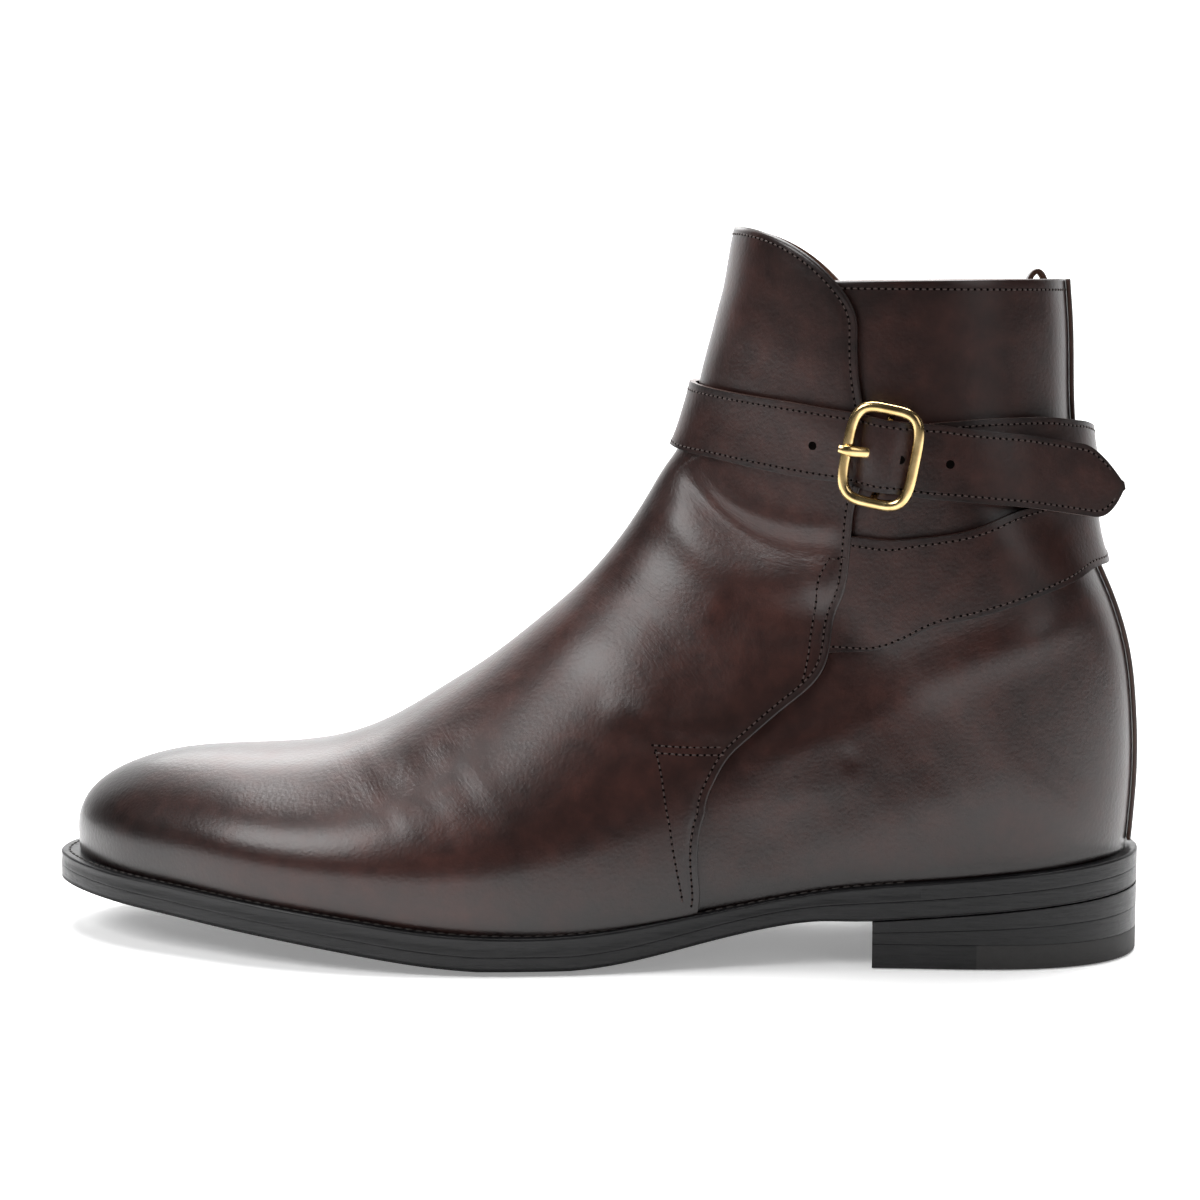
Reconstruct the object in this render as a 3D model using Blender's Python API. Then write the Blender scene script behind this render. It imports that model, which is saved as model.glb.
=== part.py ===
"""Jodhpur boot for the left foot, built as separate closed solids."""
import bmesh
import bpy
import numpy as np

for old in list(bpy.data.objects):
    bpy.data.objects.remove(old, do_unlink=True)

# Driving sizes, metres
SOLE_LENGTH = 0.309
BALL_WIDTH = 0.108
COLLAR_HEIGHT = 0.185
HEEL_LENGTH = 0.075
HEEL_REAR_X = 0.0375
CLEAR = 0.0003
WALL = 0.002
OUTSOLE_THICK = 0.0052
EDGE_BREAK = 0.0009
CAMBER = 0.0012
CAMBER_WIDTH = 0.022
RAND_LENGTH = 0.062
SEAT_TOP_OVER = 0.0025
TOP_PIECE_THICK = 0.0068
TIP_LENGTH = 0.047
VAMP_THICK = 0.0014
VAMP_LIFT = 0.0009
STRIP_THICK = 0.0012
STRIP_WIDTH = 0.0095
BUCKLE_LENGTH = 0.0212
BUCKLE_WIDTH = 0.0284
FRAME_BAR = 0.003
CENTRE_BAR = 0.002
LOOP_THICK = 0.001
LOOP_WIDTH = 0.0165
PRONG_WIDTH = 0.003
PRONG_THICK = 0.0016
PULL_WIDTH = 0.0105
PULL_THICK = 0.0014

# Outline of the sole from the toe tip to the heel, shares of length and ball width
OUTLINE = [
    dict(at=1.0, lateral=-0.006, medial=0.006),
    dict(at=0.997, lateral=0.060, medial=0.073),
    dict(at=0.984, lateral=0.130, medial=0.143),
    dict(at=0.958, lateral=0.210, medial=0.221),
    dict(at=0.919, lateral=0.290, medial=0.301),
    dict(at=0.867, lateral=0.360, medial=0.371),
    dict(at=0.809, lateral=0.430, medial=0.432),
    dict(at=0.744, lateral=0.483, medial=0.470),
    dict(at=0.680, lateral=0.512, medial=0.479),
    dict(at=0.608, lateral=0.517, medial=0.453),
    dict(at=0.534, lateral=0.495, medial=0.396),
    dict(at=0.460, lateral=0.449, medial=0.320),
    dict(at=0.388, lateral=0.394, medial=0.272),
    dict(at=0.317, lateral=0.352, medial=0.272),
    dict(at=0.243, lateral=0.328, medial=0.298),
    dict(at=0.168, lateral=0.320, medial=0.310),
    dict(at=0.104, lateral=0.298, medial=0.298),
    dict(at=0.060, lateral=0.250, medial=0.250),
    dict(at=0.033, lateral=0.190, medial=0.190),
    dict(at=0.0145, lateral=0.112, medial=0.112),
    dict(at=0.0065, lateral=0.0, medial=0.0),
]

# Height of the sole's under face and of the welt's top, shares of collar height;
# inset of the upper's foot from the sole's edge, share of ball width
PROFILE = [
    dict(at=0.0, under=0.1030, top=0.1560, inset=0.031),
    dict(at=0.10, under=0.0890, top=0.1425, inset=0.027),
    dict(at=0.194, under=0.0750, top=0.1285, inset=0.023),
    dict(at=0.243, under=0.0690, top=0.1215, inset=0.024),
    dict(at=0.291, under=0.0640, top=0.1120, inset=0.027),
    dict(at=0.340, under=0.0520, top=0.0980, inset=0.030),
    dict(at=0.388, under=0.0345, top=0.0840, inset=0.034),
    dict(at=0.430, under=0.0180, top=0.0720, inset=0.038),
    dict(at=0.472, under=0.0050, top=0.0620, inset=0.042),
    dict(at=0.515, under=-0.0010, top=0.0565, inset=0.045),
    dict(at=0.565, under=-0.0012, top=0.0560, inset=0.047),
    dict(at=0.620, under=0.0050, top=0.0610, inset=0.047),
    dict(at=0.690, under=0.0195, top=0.0745, inset=0.046),
    dict(at=0.761, under=0.0340, top=0.0870, inset=0.045),
    dict(at=0.825, under=0.0450, top=0.0970, inset=0.045),
    dict(at=0.890, under=0.0545, top=0.1050, inset=0.050),
    dict(at=0.955, under=0.0630, top=0.1120, inset=0.060),
    dict(at=1.0, under=0.0690, top=0.1170, inset=0.0725),
]

# Back seam above the heel seat, shares of collar height and sole length
SEAM = [
    dict(rise=0.160, at=0.0170),
    dict(rise=0.205, at=0.0150),
    dict(rise=0.252, at=0.0132),
    dict(rise=0.310, at=0.0130),
    dict(rise=0.374, at=0.0152),
    dict(rise=0.433, at=0.0194),
    dict(rise=0.492, at=0.0280),
    dict(rise=0.551, at=0.0415),
    dict(rise=0.600, at=0.0540),
    dict(rise=0.670, at=0.0625),
    dict(rise=0.750, at=0.0710),
    dict(rise=0.825, at=0.0752),
    dict(rise=0.941, at=0.0778),
    dict(rise=1.0, at=0.0808),
    dict(rise=1.08, at=0.0830),
]

# Sections of the upper from the toe to the collar. foot: place of the base on the sole's
# length, or rise: its height on the back seam; ridge, crest: the top of the section;
# swell: how far the widest part stands outside the foot; belly: its height share;
# cheek, crown: fullness of the side and of the ridge
SECTIONS = [
    dict(foot=1.000, ridge=0.9080, crest=0.2520, lateral=0.0035, medial=0.0035, belly=0.28, cheek=0.55, crown=0.52),
    dict(foot=0.985, ridge=0.9010, crest=0.2550, lateral=0.004, medial=0.004, belly=0.28, cheek=0.55, crown=0.52),
    dict(foot=0.955, ridge=0.8860, crest=0.2600, lateral=0.006, medial=0.006, belly=0.29, cheek=0.55, crown=0.53),
    dict(foot=0.915, ridge=0.8650, crest=0.2640, lateral=0.009, medial=0.009, belly=0.30, cheek=0.54, crown=0.54),
    dict(foot=0.865, ridge=0.8350, crest=0.2665, lateral=0.015, medial=0.012, belly=0.31, cheek=0.55, crown=0.55),
    dict(foot=0.805, ridge=0.7920, crest=0.2700, lateral=0.016, medial=0.012, belly=0.30, cheek=0.52, crown=0.55),
    dict(foot=0.740, ridge=0.7370, crest=0.2840, lateral=0.016, medial=0.012, belly=0.28, cheek=0.47, crown=0.55),
    dict(foot=0.680, ridge=0.6840, crest=0.3180, lateral=0.016, medial=0.013, belly=0.26, cheek=0.42, crown=0.52),
    dict(foot=0.620, ridge=0.6370, crest=0.3650, lateral=0.015, medial=0.016, belly=0.24, cheek=0.37, crown=0.50),
    dict(foot=0.555, ridge=0.5910, crest=0.4150, lateral=0.014, medial=0.024, belly=0.24, cheek=0.34, crown=0.47),
    dict(foot=0.490, ridge=0.5490, crest=0.4700, lateral=0.013, medial=0.036, belly=0.25, cheek=0.33, crown=0.45),
    dict(foot=0.425, ridge=0.5120, crest=0.5230, lateral=0.013, medial=0.045, belly=0.26, cheek=0.33, crown=0.44),
    dict(foot=0.360, ridge=0.4825, crest=0.5750, lateral=0.014, medial=0.042, belly=0.27, cheek=0.34, crown=0.44),
    dict(foot=0.290, ridge=0.4590, crest=0.6260, lateral=0.013, medial=0.030, belly=0.270, cheek=0.35, crown=0.45),
    dict(foot=0.215, ridge=0.4445, crest=0.6650, lateral=0.012, medial=0.017, belly=0.240, cheek=0.37, crown=0.46),
    dict(foot=0.138, ridge=0.4350, crest=0.6940, lateral=0.011, medial=0.013, belly=0.205, cheek=0.39, crown=0.47),
    dict(foot=0.068, ridge=0.4290, crest=0.7110, lateral=0.010, medial=0.012, belly=0.200, cheek=0.41, crown=0.47),
    dict(foot=0.018, ridge=0.4215, crest=0.7260, lateral=0.009, medial=0.011, belly=0.265, cheek=0.42, crown=0.48),
    dict(foot=0.000, ridge=0.4170, crest=0.7380, lateral=0.009, medial=0.011, belly=0.330, cheek=0.42, crown=0.48),
    dict(rise=0.235, ridge=0.4110, crest=0.7550, lateral=0.009, medial=0.011, belly=0.355, cheek=0.43, crown=0.49),
    dict(rise=0.320, ridge=0.4065, crest=0.7800, lateral=0.009, medial=0.011, belly=0.375, cheek=0.44, crown=0.50),
    dict(rise=0.420, ridge=0.4000, crest=0.8170, lateral=0.010, medial=0.012, belly=0.40, cheek=0.46, crown=0.51),
    dict(rise=0.530, ridge=0.3950, crest=0.8550, lateral=0.012, medial=0.014, belly=0.41, cheek=0.48, crown=0.53),
    dict(rise=0.650, ridge=0.3890, crest=0.8950, lateral=0.015, medial=0.017, belly=0.43, cheek=0.50, crown=0.54),
    dict(rise=0.770, ridge=0.3835, crest=0.9300, lateral=0.018, medial=0.020, belly=0.45, cheek=0.52, crown=0.55),
    dict(rise=0.890, ridge=0.3785, crest=0.9630, lateral=0.021, medial=0.023, belly=0.46, cheek=0.53, crown=0.56),
    dict(rise=1.0, ridge=0.3740, crest=0.9950, lateral=0.024, medial=0.026, belly=0.46, cheek=0.54, crown=0.56),
    dict(rise=1.09, ridge=0.3665, crest=1.0750, lateral=0.026, medial=0.028, belly=0.46, cheek=0.54, crown=0.56),
]
COLLAR_ROW = len(SECTIONS) - 2
HEEL_ROW = 18


def cubic(knots, values, loop=False):
    """Smooth curve through the values; a loop repeats after its last knot."""
    knots = np.asarray(knots, float)
    values = np.asarray(values, float)
    count = len(knots)
    gaps = np.diff(knots)
    rises = np.diff(values) / gaps
    matrix = np.zeros((count, count))
    right = np.zeros(count)
    for i in range(1, count - 1):
        matrix[i, i - 1], matrix[i, i + 1] = gaps[i], gaps[i - 1]
        matrix[i, i] = 2 * (gaps[i - 1] + gaps[i])
        right[i] = 3 * (gaps[i] * rises[i - 1] + gaps[i - 1] * rises[i])
    if loop:
        matrix[0, 0], matrix[0, -1] = 1, -1
        matrix[-1, 0] = matrix[-1, 0] + 2 * gaps[-1]
        matrix[-1, 1], matrix[-1, -2] = gaps[-1], gaps[0]
        matrix[-1, -1] = matrix[-1, -1] + 2 * gaps[0]
        right[-1] = 3 * (gaps[-1] * rises[0] + gaps[0] * rises[-1])
    else:
        matrix[0, 0], matrix[0, 1], right[0] = 2, 1, 3 * rises[0]
        matrix[-1, -1], matrix[-1, -2], right[-1] = 2, 1, 3 * rises[-1]
    slopes = np.linalg.solve(matrix, right)

    def at(x):
        x = np.asarray(x, float)
        if loop:
            x = knots[0] + np.mod(x - knots[0], knots[-1] - knots[0])
        i = np.clip(np.searchsorted(knots, x, side="right") - 1, 0, count - 2)
        g = gaps[i]
        t = (x - knots[i]) / g
        a, b = values[i], values[i + 1]
        return (a * (1 + 2 * t) * (1 - t) ** 2 + b * t * t * (3 - 2 * t)
                + g * t * (1 - t) * (slopes[i] * (1 - t) - slopes[i + 1] * t))
    return at


def column(table, name, scale=1.0):
    return np.array([row[name] for row in table]) * scale


def ease(x):
    x = np.clip(x, 0.0, 1.0)
    return x * x * (3 - 2 * x)


# The outline is one closed curve: way is 0 at the toe, positive on the lateral side
OUT_AT = column(OUTLINE, "at", SOLE_LENGTH)
OUT_LAT = column(OUTLINE, "lateral", BALL_WIDTH)
OUT_MED = column(OUTLINE, "medial", BALL_WIDTH)
WAY = np.r_[0.0, np.cumsum(0.5 * (np.hypot(np.diff(OUT_AT), np.diff(OUT_LAT))
                                  + np.hypot(np.diff(OUT_AT), np.diff(OUT_MED))))]
WAY_END = WAY[-1]
_knots = np.r_[-WAY[::-1], WAY[1:]]
OUTLINE_X = cubic(_knots, HEEL_REAR_X - np.r_[OUT_AT[::-1], OUT_AT[1:]], loop=True)
OUTLINE_Y = cubic(_knots, np.r_[OUT_MED[::-1], -OUT_LAT[1:]], loop=True)
PROFILE_AT = column(PROFILE, "at", SOLE_LENGTH)
UNDER = cubic(PROFILE_AT, column(PROFILE, "under", COLLAR_HEIGHT))
WELT_TOP = cubic(PROFILE_AT, column(PROFILE, "top", COLLAR_HEIGHT))
INSET = cubic(PROFILE_AT, column(PROFILE, "inset", BALL_WIDTH))


def under_z(x):
    """Under face of the outsole, level where the forefoot stands."""
    return np.maximum(UNDER(HEEL_REAR_X - x), 0.0)


def welt_z(x):
    return WELT_TOP(HEEL_REAR_X - x)


def outline(way, inside=0.0):
    """Plan point of the sole's edge, moved inside by a distance."""
    step = SOLE_LENGTH * 1e-4
    x, y = OUTLINE_X(way), OUTLINE_Y(way)
    dx = OUTLINE_X(way + step) - OUTLINE_X(way - step)
    dy = OUTLINE_Y(way + step) - OUTLINE_Y(way - step)
    size = np.hypot(dx, dy)
    return np.stack([x - inside * dy / size, y + inside * dx / size], -1)


def feather(way, inside=0.0):
    """Plan point of the upper's foot on the welt."""
    return outline(way, INSET(HEEL_REAR_X - OUTLINE_X(way)) + inside)


SEAM_X = cubic(column(SEAM, "rise", COLLAR_HEIGHT),
               HEEL_REAR_X - column(SEAM, "at", SOLE_LENGTH))
_ways = np.linspace(0, WAY_END, 400)
_feet = (HEEL_REAR_X - feather(_ways)[:, 0])
FOOT_FRONT, FOOT_REAR = _feet[0], _feet[-1]
SEAT_Z = float(welt_z(feather(WAY_END)[0])) + CLEAR
ROWS = np.arange(len(SECTIONS), dtype=float)
_base = []
for _row in SECTIONS:
    if "foot" in _row:
        _place = FOOT_REAR + _row["foot"] * (FOOT_FRONT - FOOT_REAR)
        _base.append(float(np.interp(-_place, -_feet, _ways)))
    else:
        _base.append(WAY_END + _row["rise"] * COLLAR_HEIGHT - SEAT_Z)
BASE = cubic(ROWS, _base)
RIDGE_X = cubic(ROWS, HEEL_REAR_X - column(SECTIONS, "ridge", SOLE_LENGTH))
RIDGE_Z = cubic(ROWS, column(SECTIONS, "crest", COLLAR_HEIGHT))
SWELL = {-1: cubic(ROWS, column(SECTIONS, "lateral", BALL_WIDTH)),
         1: cubic(ROWS, column(SECTIONS, "medial", BALL_WIDTH))}
BELLY = cubic(ROWS, column(SECTIONS, "belly"))
CHEEK = cubic(ROWS, column(SECTIONS, "cheek"))
CROWN = cubic(ROWS, column(SECTIONS, "crown"))
WIDE_WAY = float(np.interp(-0.165 * SOLE_LENGTH, -_feet, _ways))
WIDE_BLEND = 0.012
BELLY_TURN = 0.56
SOFT_FROM = 10.5
SOFT_TO = 22.5
SOFT_RAMP = 3.5
SOFT_REACH = 1.6


def half_skin(row, turn, side):
    """Point of the upper on one side; turn is 0 on the ridge and 1 at the base."""
    way = BASE(row)
    on_foot = np.minimum(way, WAY_END)
    plan = feather(side * -on_foot)
    rise = np.maximum(way - WAY_END, 0.0)
    base_z = np.where(way <= WAY_END, welt_z(plan[..., 0]) + CLEAR, SEAT_Z + rise)
    seam = SEAM_X(base_z) - SEAM_X(SEAT_Z) + feather(WAY_END)[0]
    base_x = np.where(way <= WAY_END, plan[..., 0], seam)
    base_y = np.where(way <= WAY_END, plan[..., 1], 0.0)
    wide = np.abs(feather(side * -np.minimum(way, WIDE_WAY))[..., 1])
    top_x, top_z = RIDGE_X(row), RIDGE_Z(row)
    # Toe sections turn about the crest, the others stand square to the foot
    toe = ease(1 - way / (0.5 * WAY_END))
    axis_x = base_x + toe * (top_x - base_x)
    out_x, out_y = base_x - axis_x, base_y
    base_r = np.hypot(out_x, out_y)
    fall = np.maximum(base_r, 1e-6)
    dir_x = np.where(base_r > 1e-5, out_x / fall, 0.0)
    dir_y = np.where(base_r > 1e-5, out_y / fall, side)
    square = ease((way - 0.6 * WAY_END) / (0.3 * WAY_END))
    dir_x, dir_y = dir_x * (1 - square), dir_y * (1 - square) + side * square
    base_r = np.where(square > 0, np.abs(base_y) * square + base_r * (1 - square), base_r)
    swell = SWELL[side](row)
    past = ease((way - WIDE_WAY) / (2 * WIDE_BLEND) + 0.5)
    half = wide * past + base_r * (1 - past) + swell
    half = np.maximum(half, base_r * 1.004)
    belly = BELLY(row)
    start = np.arcsin(np.clip(base_r / half, 0.0, 1.0))
    low = np.clip((1 - turn) / (1 - BELLY_TURN), 0.0, 1.0)
    angle = start + (np.pi / 2 - start) * low
    share_low = belly * (1 - np.cos(angle) / np.maximum(np.cos(start), 1e-9))
    reach_low = half * np.sin(angle)
    t = np.clip(1 - turn / BELLY_TURN, 0.0, 1.0)
    a, b, c, d = (1 - t) ** 3, 3 * t * (1 - t) ** 2, 3 * t * t * (1 - t), t ** 3
    share_up = a * belly + b * (belly + CHEEK(row) * (1 - belly)) + c + d
    reach_up = half * (a + b + c * CROWN(row))
    upper = turn < BELLY_TURN
    share = np.where(upper, share_up, share_low)
    reach = np.where(upper, reach_up, reach_low)
    step = 0.01
    slope = ((RIDGE_Z(row + step) - RIDGE_Z(row - step))
             / (RIDGE_X(row + step) - RIDGE_X(row - step)))
    lean = np.where(upper, c * CROWN(row) * half * dir_x * slope * toe, 0.0)
    return np.stack([axis_x + share * (top_x - axis_x) + reach * dir_x,
                     reach * dir_y,
                     base_z + share * (top_z - base_z) + lean], -1)


def skin(row, turn):
    """Outer face of the upper; turn runs from -1 lateral over the ridge to 1 medial. Round
    the heel's corner neighbouring sections are averaged, less so toward the seat."""
    row, turn = np.broadcast_arrays(np.asarray(row, float), np.asarray(turn, float))
    near = ease((row - SOFT_FROM) / SOFT_RAMP) * ease((SOFT_TO - row) / SOFT_RAMP)
    reach = SOFT_REACH * near * (1 - np.abs(turn) ** 8)
    total = 0.0
    for shift, weight in ((-1.0, 0.0625), (-0.5, 0.25), (0.0, 0.375), (0.5, 0.25), (1.0, 0.0625)):
        at_row = row + shift * reach
        lateral = half_skin(at_row, np.abs(turn), -1)
        medial = half_skin(at_row, np.abs(turn), 1)
        total = total + weight * np.where((turn < 0)[..., None], lateral, medial)
    return total


def unit(vectors):
    return vectors / np.maximum(np.linalg.norm(vectors, axis=-1, keepdims=True), 1e-12)


def raw_normal(row, turn):
    h = 0.02
    closed = BASE(row) > WAY_END - 1e-6

    def wrap(value):
        return np.where(closed, np.mod(value + 1, 2) - 1, np.clip(value, -1, 1))

    along = skin(row + h, turn) - skin(row - h, turn)
    around = skin(row, wrap(turn + h)) - skin(row, wrap(turn - h))
    return unit(np.cross(along, around))


def skin_normal(row, turn):
    """Outward direction of the skin; both halves share it on the toe's middle line."""
    row, turn = np.broadcast_arrays(np.asarray(row, float), np.asarray(turn, float))
    inner = np.maximum(row, 0.03)
    normal = raw_normal(inner, turn)
    middle = unit((normal + raw_normal(inner, -turn)) * np.array([1.0, 0.0, 1.0]))
    return np.where((row < 0.03)[..., None], middle, normal)


def shell(row, turn, lift):
    """Point at a height above the skin; a foot point stays level with the base."""
    row, turn, lift = np.broadcast_arrays(np.asarray(row, float), turn, lift)
    normal = skin_normal(row, turn)
    foot = ((np.abs(turn) > 0.999) & (BASE(row) <= WAY_END + 1e-6)) | (
        np.abs(row - COLLAR_ROW) < 1e-6)
    level = unit(normal * np.array([1.0, 1.0, 0.0]))
    point = skin(row, turn) + np.where(foot[..., None], level, normal) * lift[..., None]
    on_welt = foot & (row < COLLAR_ROW - 1)
    point[..., 2] = np.where(on_welt, welt_z(point[..., 0]) + CLEAR, point[..., 2])
    return point


def row_at(turn, height):
    """Row where the skin reaches a height at a turn."""
    turn, height = np.broadcast_arrays(np.asarray(turn, float), np.asarray(height, float))
    low = np.full(turn.shape, 8.0)
    high = np.full(turn.shape, ROWS[-1] + 0.5)
    for _ in range(34):
        middle = 0.5 * (low + high)
        under = skin(middle, turn)[..., 2] < height
        low, high = np.where(under, middle, low), np.where(under, high, middle)
    return 0.5 * (low + high)


# Solids
def solid(name, points, faces, color, rough, metal=0.0, smooth=True):
    """One object with its own material; points that coincide are joined."""
    mesh = bpy.data.meshes.new(name)
    mesh.from_pydata([tuple(p) for p in points], [], faces)
    work = bmesh.new()
    work.from_mesh(mesh)
    bmesh.ops.remove_doubles(work, verts=work.verts, dist=1e-6)
    bmesh.ops.dissolve_degenerate(work, dist=1e-7, edges=work.edges)
    bmesh.ops.recalc_face_normals(work, faces=work.faces)
    work.to_mesh(mesh)
    work.free()
    for face in mesh.polygons:
        face.use_smooth = smooth
    piece = bpy.data.objects.new(name, mesh)
    bpy.context.scene.collection.objects.link(piece)
    paint = bpy.data.materials.new(name)
    paint.use_nodes = True
    shader = paint.node_tree.nodes["Principled BSDF"]
    shader.inputs["Base Color"].default_value = (*color, 1.0)
    shader.inputs["Roughness"].default_value = rough
    shader.inputs["Metallic"].default_value = metal
    mesh.materials.append(paint)
    return piece


def slab(outer, inner, fold=False, seam_from=None):
    """Points and faces of a closed sheet between two grids. A folded sheet has no rim on
    its first row; past seam_from its two side edges meet."""
    rows, cols = outer.shape[:2]
    points = np.concatenate([outer.reshape(-1, 3), inner.reshape(-1, 3)])
    far = rows * cols

    def at(i, j):
        return i * cols + j

    faces = []
    for i in range(rows - 1):
        for j in range(cols - 1):
            ring = [at(i, j), at(i + 1, j), at(i + 1, j + 1), at(i, j + 1)]
            faces += [ring, [far + k for k in reversed(ring)]]
    last = rows if seam_from is None else seam_from + 1
    for i in range(last - 1):
        for j in (0, cols - 1):
            faces.append([at(i, j), at(i + 1, j), far + at(i + 1, j), far + at(i, j)])
    for i in ([rows - 1] if fold else [0, rows - 1]):
        for j in range(cols - 1):
            faces.append([at(i, j), at(i, j + 1), far + at(i, j + 1), far + at(i, j)])
    return points, faces


def loft(sections, loop=False):
    """Points and faces of a body through closed sections."""
    count, size = sections.shape[:2]
    faces = []
    for i in range(count if loop else count - 1):
        k = (i + 1) % count
        for j in range(size):
            m = (j + 1) % size
            faces.append([i * size + j, k * size + j, k * size + m, i * size + m])
    if not loop:
        faces += [list(range(size)), [(count - 1) * size + j for j in reversed(range(size))]]
    return sections.reshape(-1, 3), faces


def stack(points, heights):
    return np.concatenate([points, np.asarray(heights)[..., None]], -1)


def plate(ways, insides, low, high, break_edge=0.0, camber=0.0):
    """Body between two heights over the part of the outline that the ways cover; camber
    lifts its lower edge under the forefoot."""
    half = []
    for side in (1, -1):
        def place(inside):
            if insides is None:
                return outline(side * ways, inside)
            return feather(side * ways, insides + inside)

        edge, inner, deep = place(0.0), place(break_edge), place(CAMBER_WIDTH)
        lift = camber * ease((HEEL_REAR_X - HEEL_LENGTH - edge[:, 0]) / CAMBER_WIDTH)
        deep[:, 1] = np.where(deep[:, 1] * side < 0, deep[:, 1], 0.0)
        low_edge = stack(edge, low(edge[:, 0]) + break_edge + lift)
        line = [stack(edge, high(edge[:, 0])), low_edge]
        if break_edge:
            line.append(stack(inner, low(inner[:, 0]) + lift))
        if camber:
            line.append(stack(deep, low(deep[:, 0])))
        half.append(line)
    return loft(np.stack(half[0] + half[1][::-1], 1))


def ring(ways, inner_gap, low, high):
    """Strip along the outline from its edge to a line inside the upper's wall."""
    edge, inner = outline(ways), feather(ways, inner_gap)
    bands = [stack(edge, low(edge[:, 0])), stack(edge, high(edge[:, 0])),
             stack(inner, high(inner[:, 0])), stack(inner, low(inner[:, 0]))]
    return loft(np.stack(bands, 1))


def even(first, last, step):
    return np.linspace(first, last, max(2, int(round(abs(last - first) / step)) + 1))


def way_at(distance):
    """Way along the outline where it is a distance from the heel's back."""
    ways = np.linspace(0, WAY_END, 2000)
    return float(np.interp(-distance, -(HEEL_REAR_X - OUTLINE_X(ways)), ways))


GRAIN_STEP = 0.0085
BREAST = way_at(HEEL_LENGTH)
RAND = way_at(RAND_LENGTH)
TIP = way_at(TIP_LENGTH)


def outsole_top(x):
    return under_z(x) + OUTSOLE_THICK


def welt_low(x):
    return outsole_top(x) + CLEAR


SOLE_BROWN = (0.018, 0.012, 0.010)
LEATHER = (0.060, 0.022, 0.014)
TAN = (0.42, 0.27, 0.16)
GOLD = (0.78, 0.56, 0.28)

whole = np.r_[0.0, 0.02, 0.05, np.linspace(0.09, 0.91, 36), 0.95, 0.98, 1.0] * WAY_END
solid("outsole", *plate(whole, None, under_z, outsole_top, EDGE_BREAK, CAMBER), SOLE_BROWN, 0.35,
      smooth=False)
welt_ways = even(-RAND + 4 * CLEAR, RAND - 4 * CLEAR, GRAIN_STEP)
solid("welt", *ring(welt_ways, WALL + 0.001, welt_low, welt_z), SOLE_BROWN, 0.4, smooth=False)
rand_ways = even(RAND + 4 * CLEAR, 2 * WAY_END - RAND - 4 * CLEAR, GRAIN_STEP * 0.7)
solid("heel_rand", *ring(rand_ways, WALL + 0.001, welt_low, welt_z), SOLE_BROWN, 0.4,
      smooth=False)
insole_ways = np.r_[0.0, 0.03, np.linspace(0.08, 0.92, 34), 0.97, 1.0] * WAY_END
solid("insole", *plate(insole_ways, WALL + 0.001 + CLEAR, welt_low,
                       lambda x: welt_z(x) + SEAT_TOP_OVER), TAN, 0.7, smooth=False)

# Heel: the lifts share the wedge between the top piece and the outsole
heel_ways = BREAST + (WAY_END - BREAST) * np.sin(np.linspace(0, np.pi / 2, 15))


def heel_level(share):
    """Height between the top piece and the sole's under face."""
    return lambda x: TOP_PIECE_THICK + share * (under_z(x) - TOP_PIECE_THICK)


solid("heel_lift_1", *plate(heel_ways, None, lambda x: heel_level(0.0)(x) + CLEAR,
                            heel_level(0.5)), SOLE_BROWN, 0.4, smooth=False)
solid("heel_lift_2", *plate(heel_ways, None, lambda x: heel_level(0.5)(x) + CLEAR,
                            lambda x: heel_level(1.0)(x) - CLEAR), SOLE_BROWN, 0.4, smooth=False)
front_ways = even(BREAST, TIP - CLEAR, GRAIN_STEP)
solid("heel_top_piece", *plate(front_ways, None, lambda x: x * 0,
                               lambda x: x * 0 + TOP_PIECE_THICK), SOLE_BROWN, 0.4, smooth=False)
tip_ways = TIP + CLEAR + (WAY_END - TIP - CLEAR) * np.sin(np.linspace(0, np.pi / 2, 12))
solid("heel_tip", *plate(tip_ways, None, lambda x: x * 0,
                         lambda x: x * 0 + TOP_PIECE_THICK), (0.05, 0.035, 0.03), 0.8, smooth=False)

# Upper: one hollow shell, open at the collar and under the foot
foot_rows = np.r_[0, 0.4, 0.8, 1.2, 1.7, 2.2, 2.8, 3.5, 4.2, np.linspace(4.9, 11.45, 10)]
half_turns = np.array([0, 0.07, 0.15, 0.24, 0.34, 0.44, 0.54, 0.64, 0.75, 0.85, 0.93, 1])
upper_turns = np.r_[-half_turns[:0:-1], half_turns]
upper_rows = np.r_[foot_rows, 11.8, 12.3, 12.9, 13.6, 14.3, 15.0, 15.6, np.linspace(16.2, HEEL_ROW, 7),
                   np.linspace(HEEL_ROW + 0.9, COLLAR_ROW, 10)]
outer = shell(upper_rows[:, None], upper_turns[None, :], 0.0)
inner = shell(upper_rows[:, None], upper_turns[None, :], -WALL)
heel_index = int(np.argmin(np.abs(upper_rows - HEEL_ROW)))
solid("upper", *slab(outer, inner, fold=True, seam_from=heel_index), LEATHER, 0.4)

# Edge of the vamp and its flap: row of the section and turn at each side
VAMP_EDGE = [
    dict(row=11.45, lateral=1.000, medial=1.000),
    dict(row=11.58, lateral=0.932, medial=0.932),
    dict(row=11.71, lateral=0.790, medial=0.790),
    dict(row=11.88, lateral=0.659, medial=0.659),
    dict(row=12.04, lateral=0.549, medial=0.549),
    dict(row=12.29, lateral=0.514, medial=0.514),
    dict(row=12.67, lateral=0.484, medial=0.484),
    dict(row=13.10, lateral=0.463, medial=0.463),
    dict(row=13.92, lateral=0.431, medial=0.431),
    dict(row=15.10, lateral=0.397, medial=0.397),
    dict(row=16.58, lateral=0.361, medial=0.361),
    dict(row=18.67, lateral=0.376, medial=0.376),
    dict(row=20.21, lateral=0.391, medial=0.391),
    dict(row=20.92, lateral=0.401, medial=0.401),
    dict(row=22.20, lateral=0.433, medial=0.433),
    dict(row=23.70, lateral=0.463, medial=0.463),
    dict(row=25.00, lateral=0.464, medial=0.464),
    dict(row=27.00, lateral=0.448, medial=0.448),
]
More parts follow.
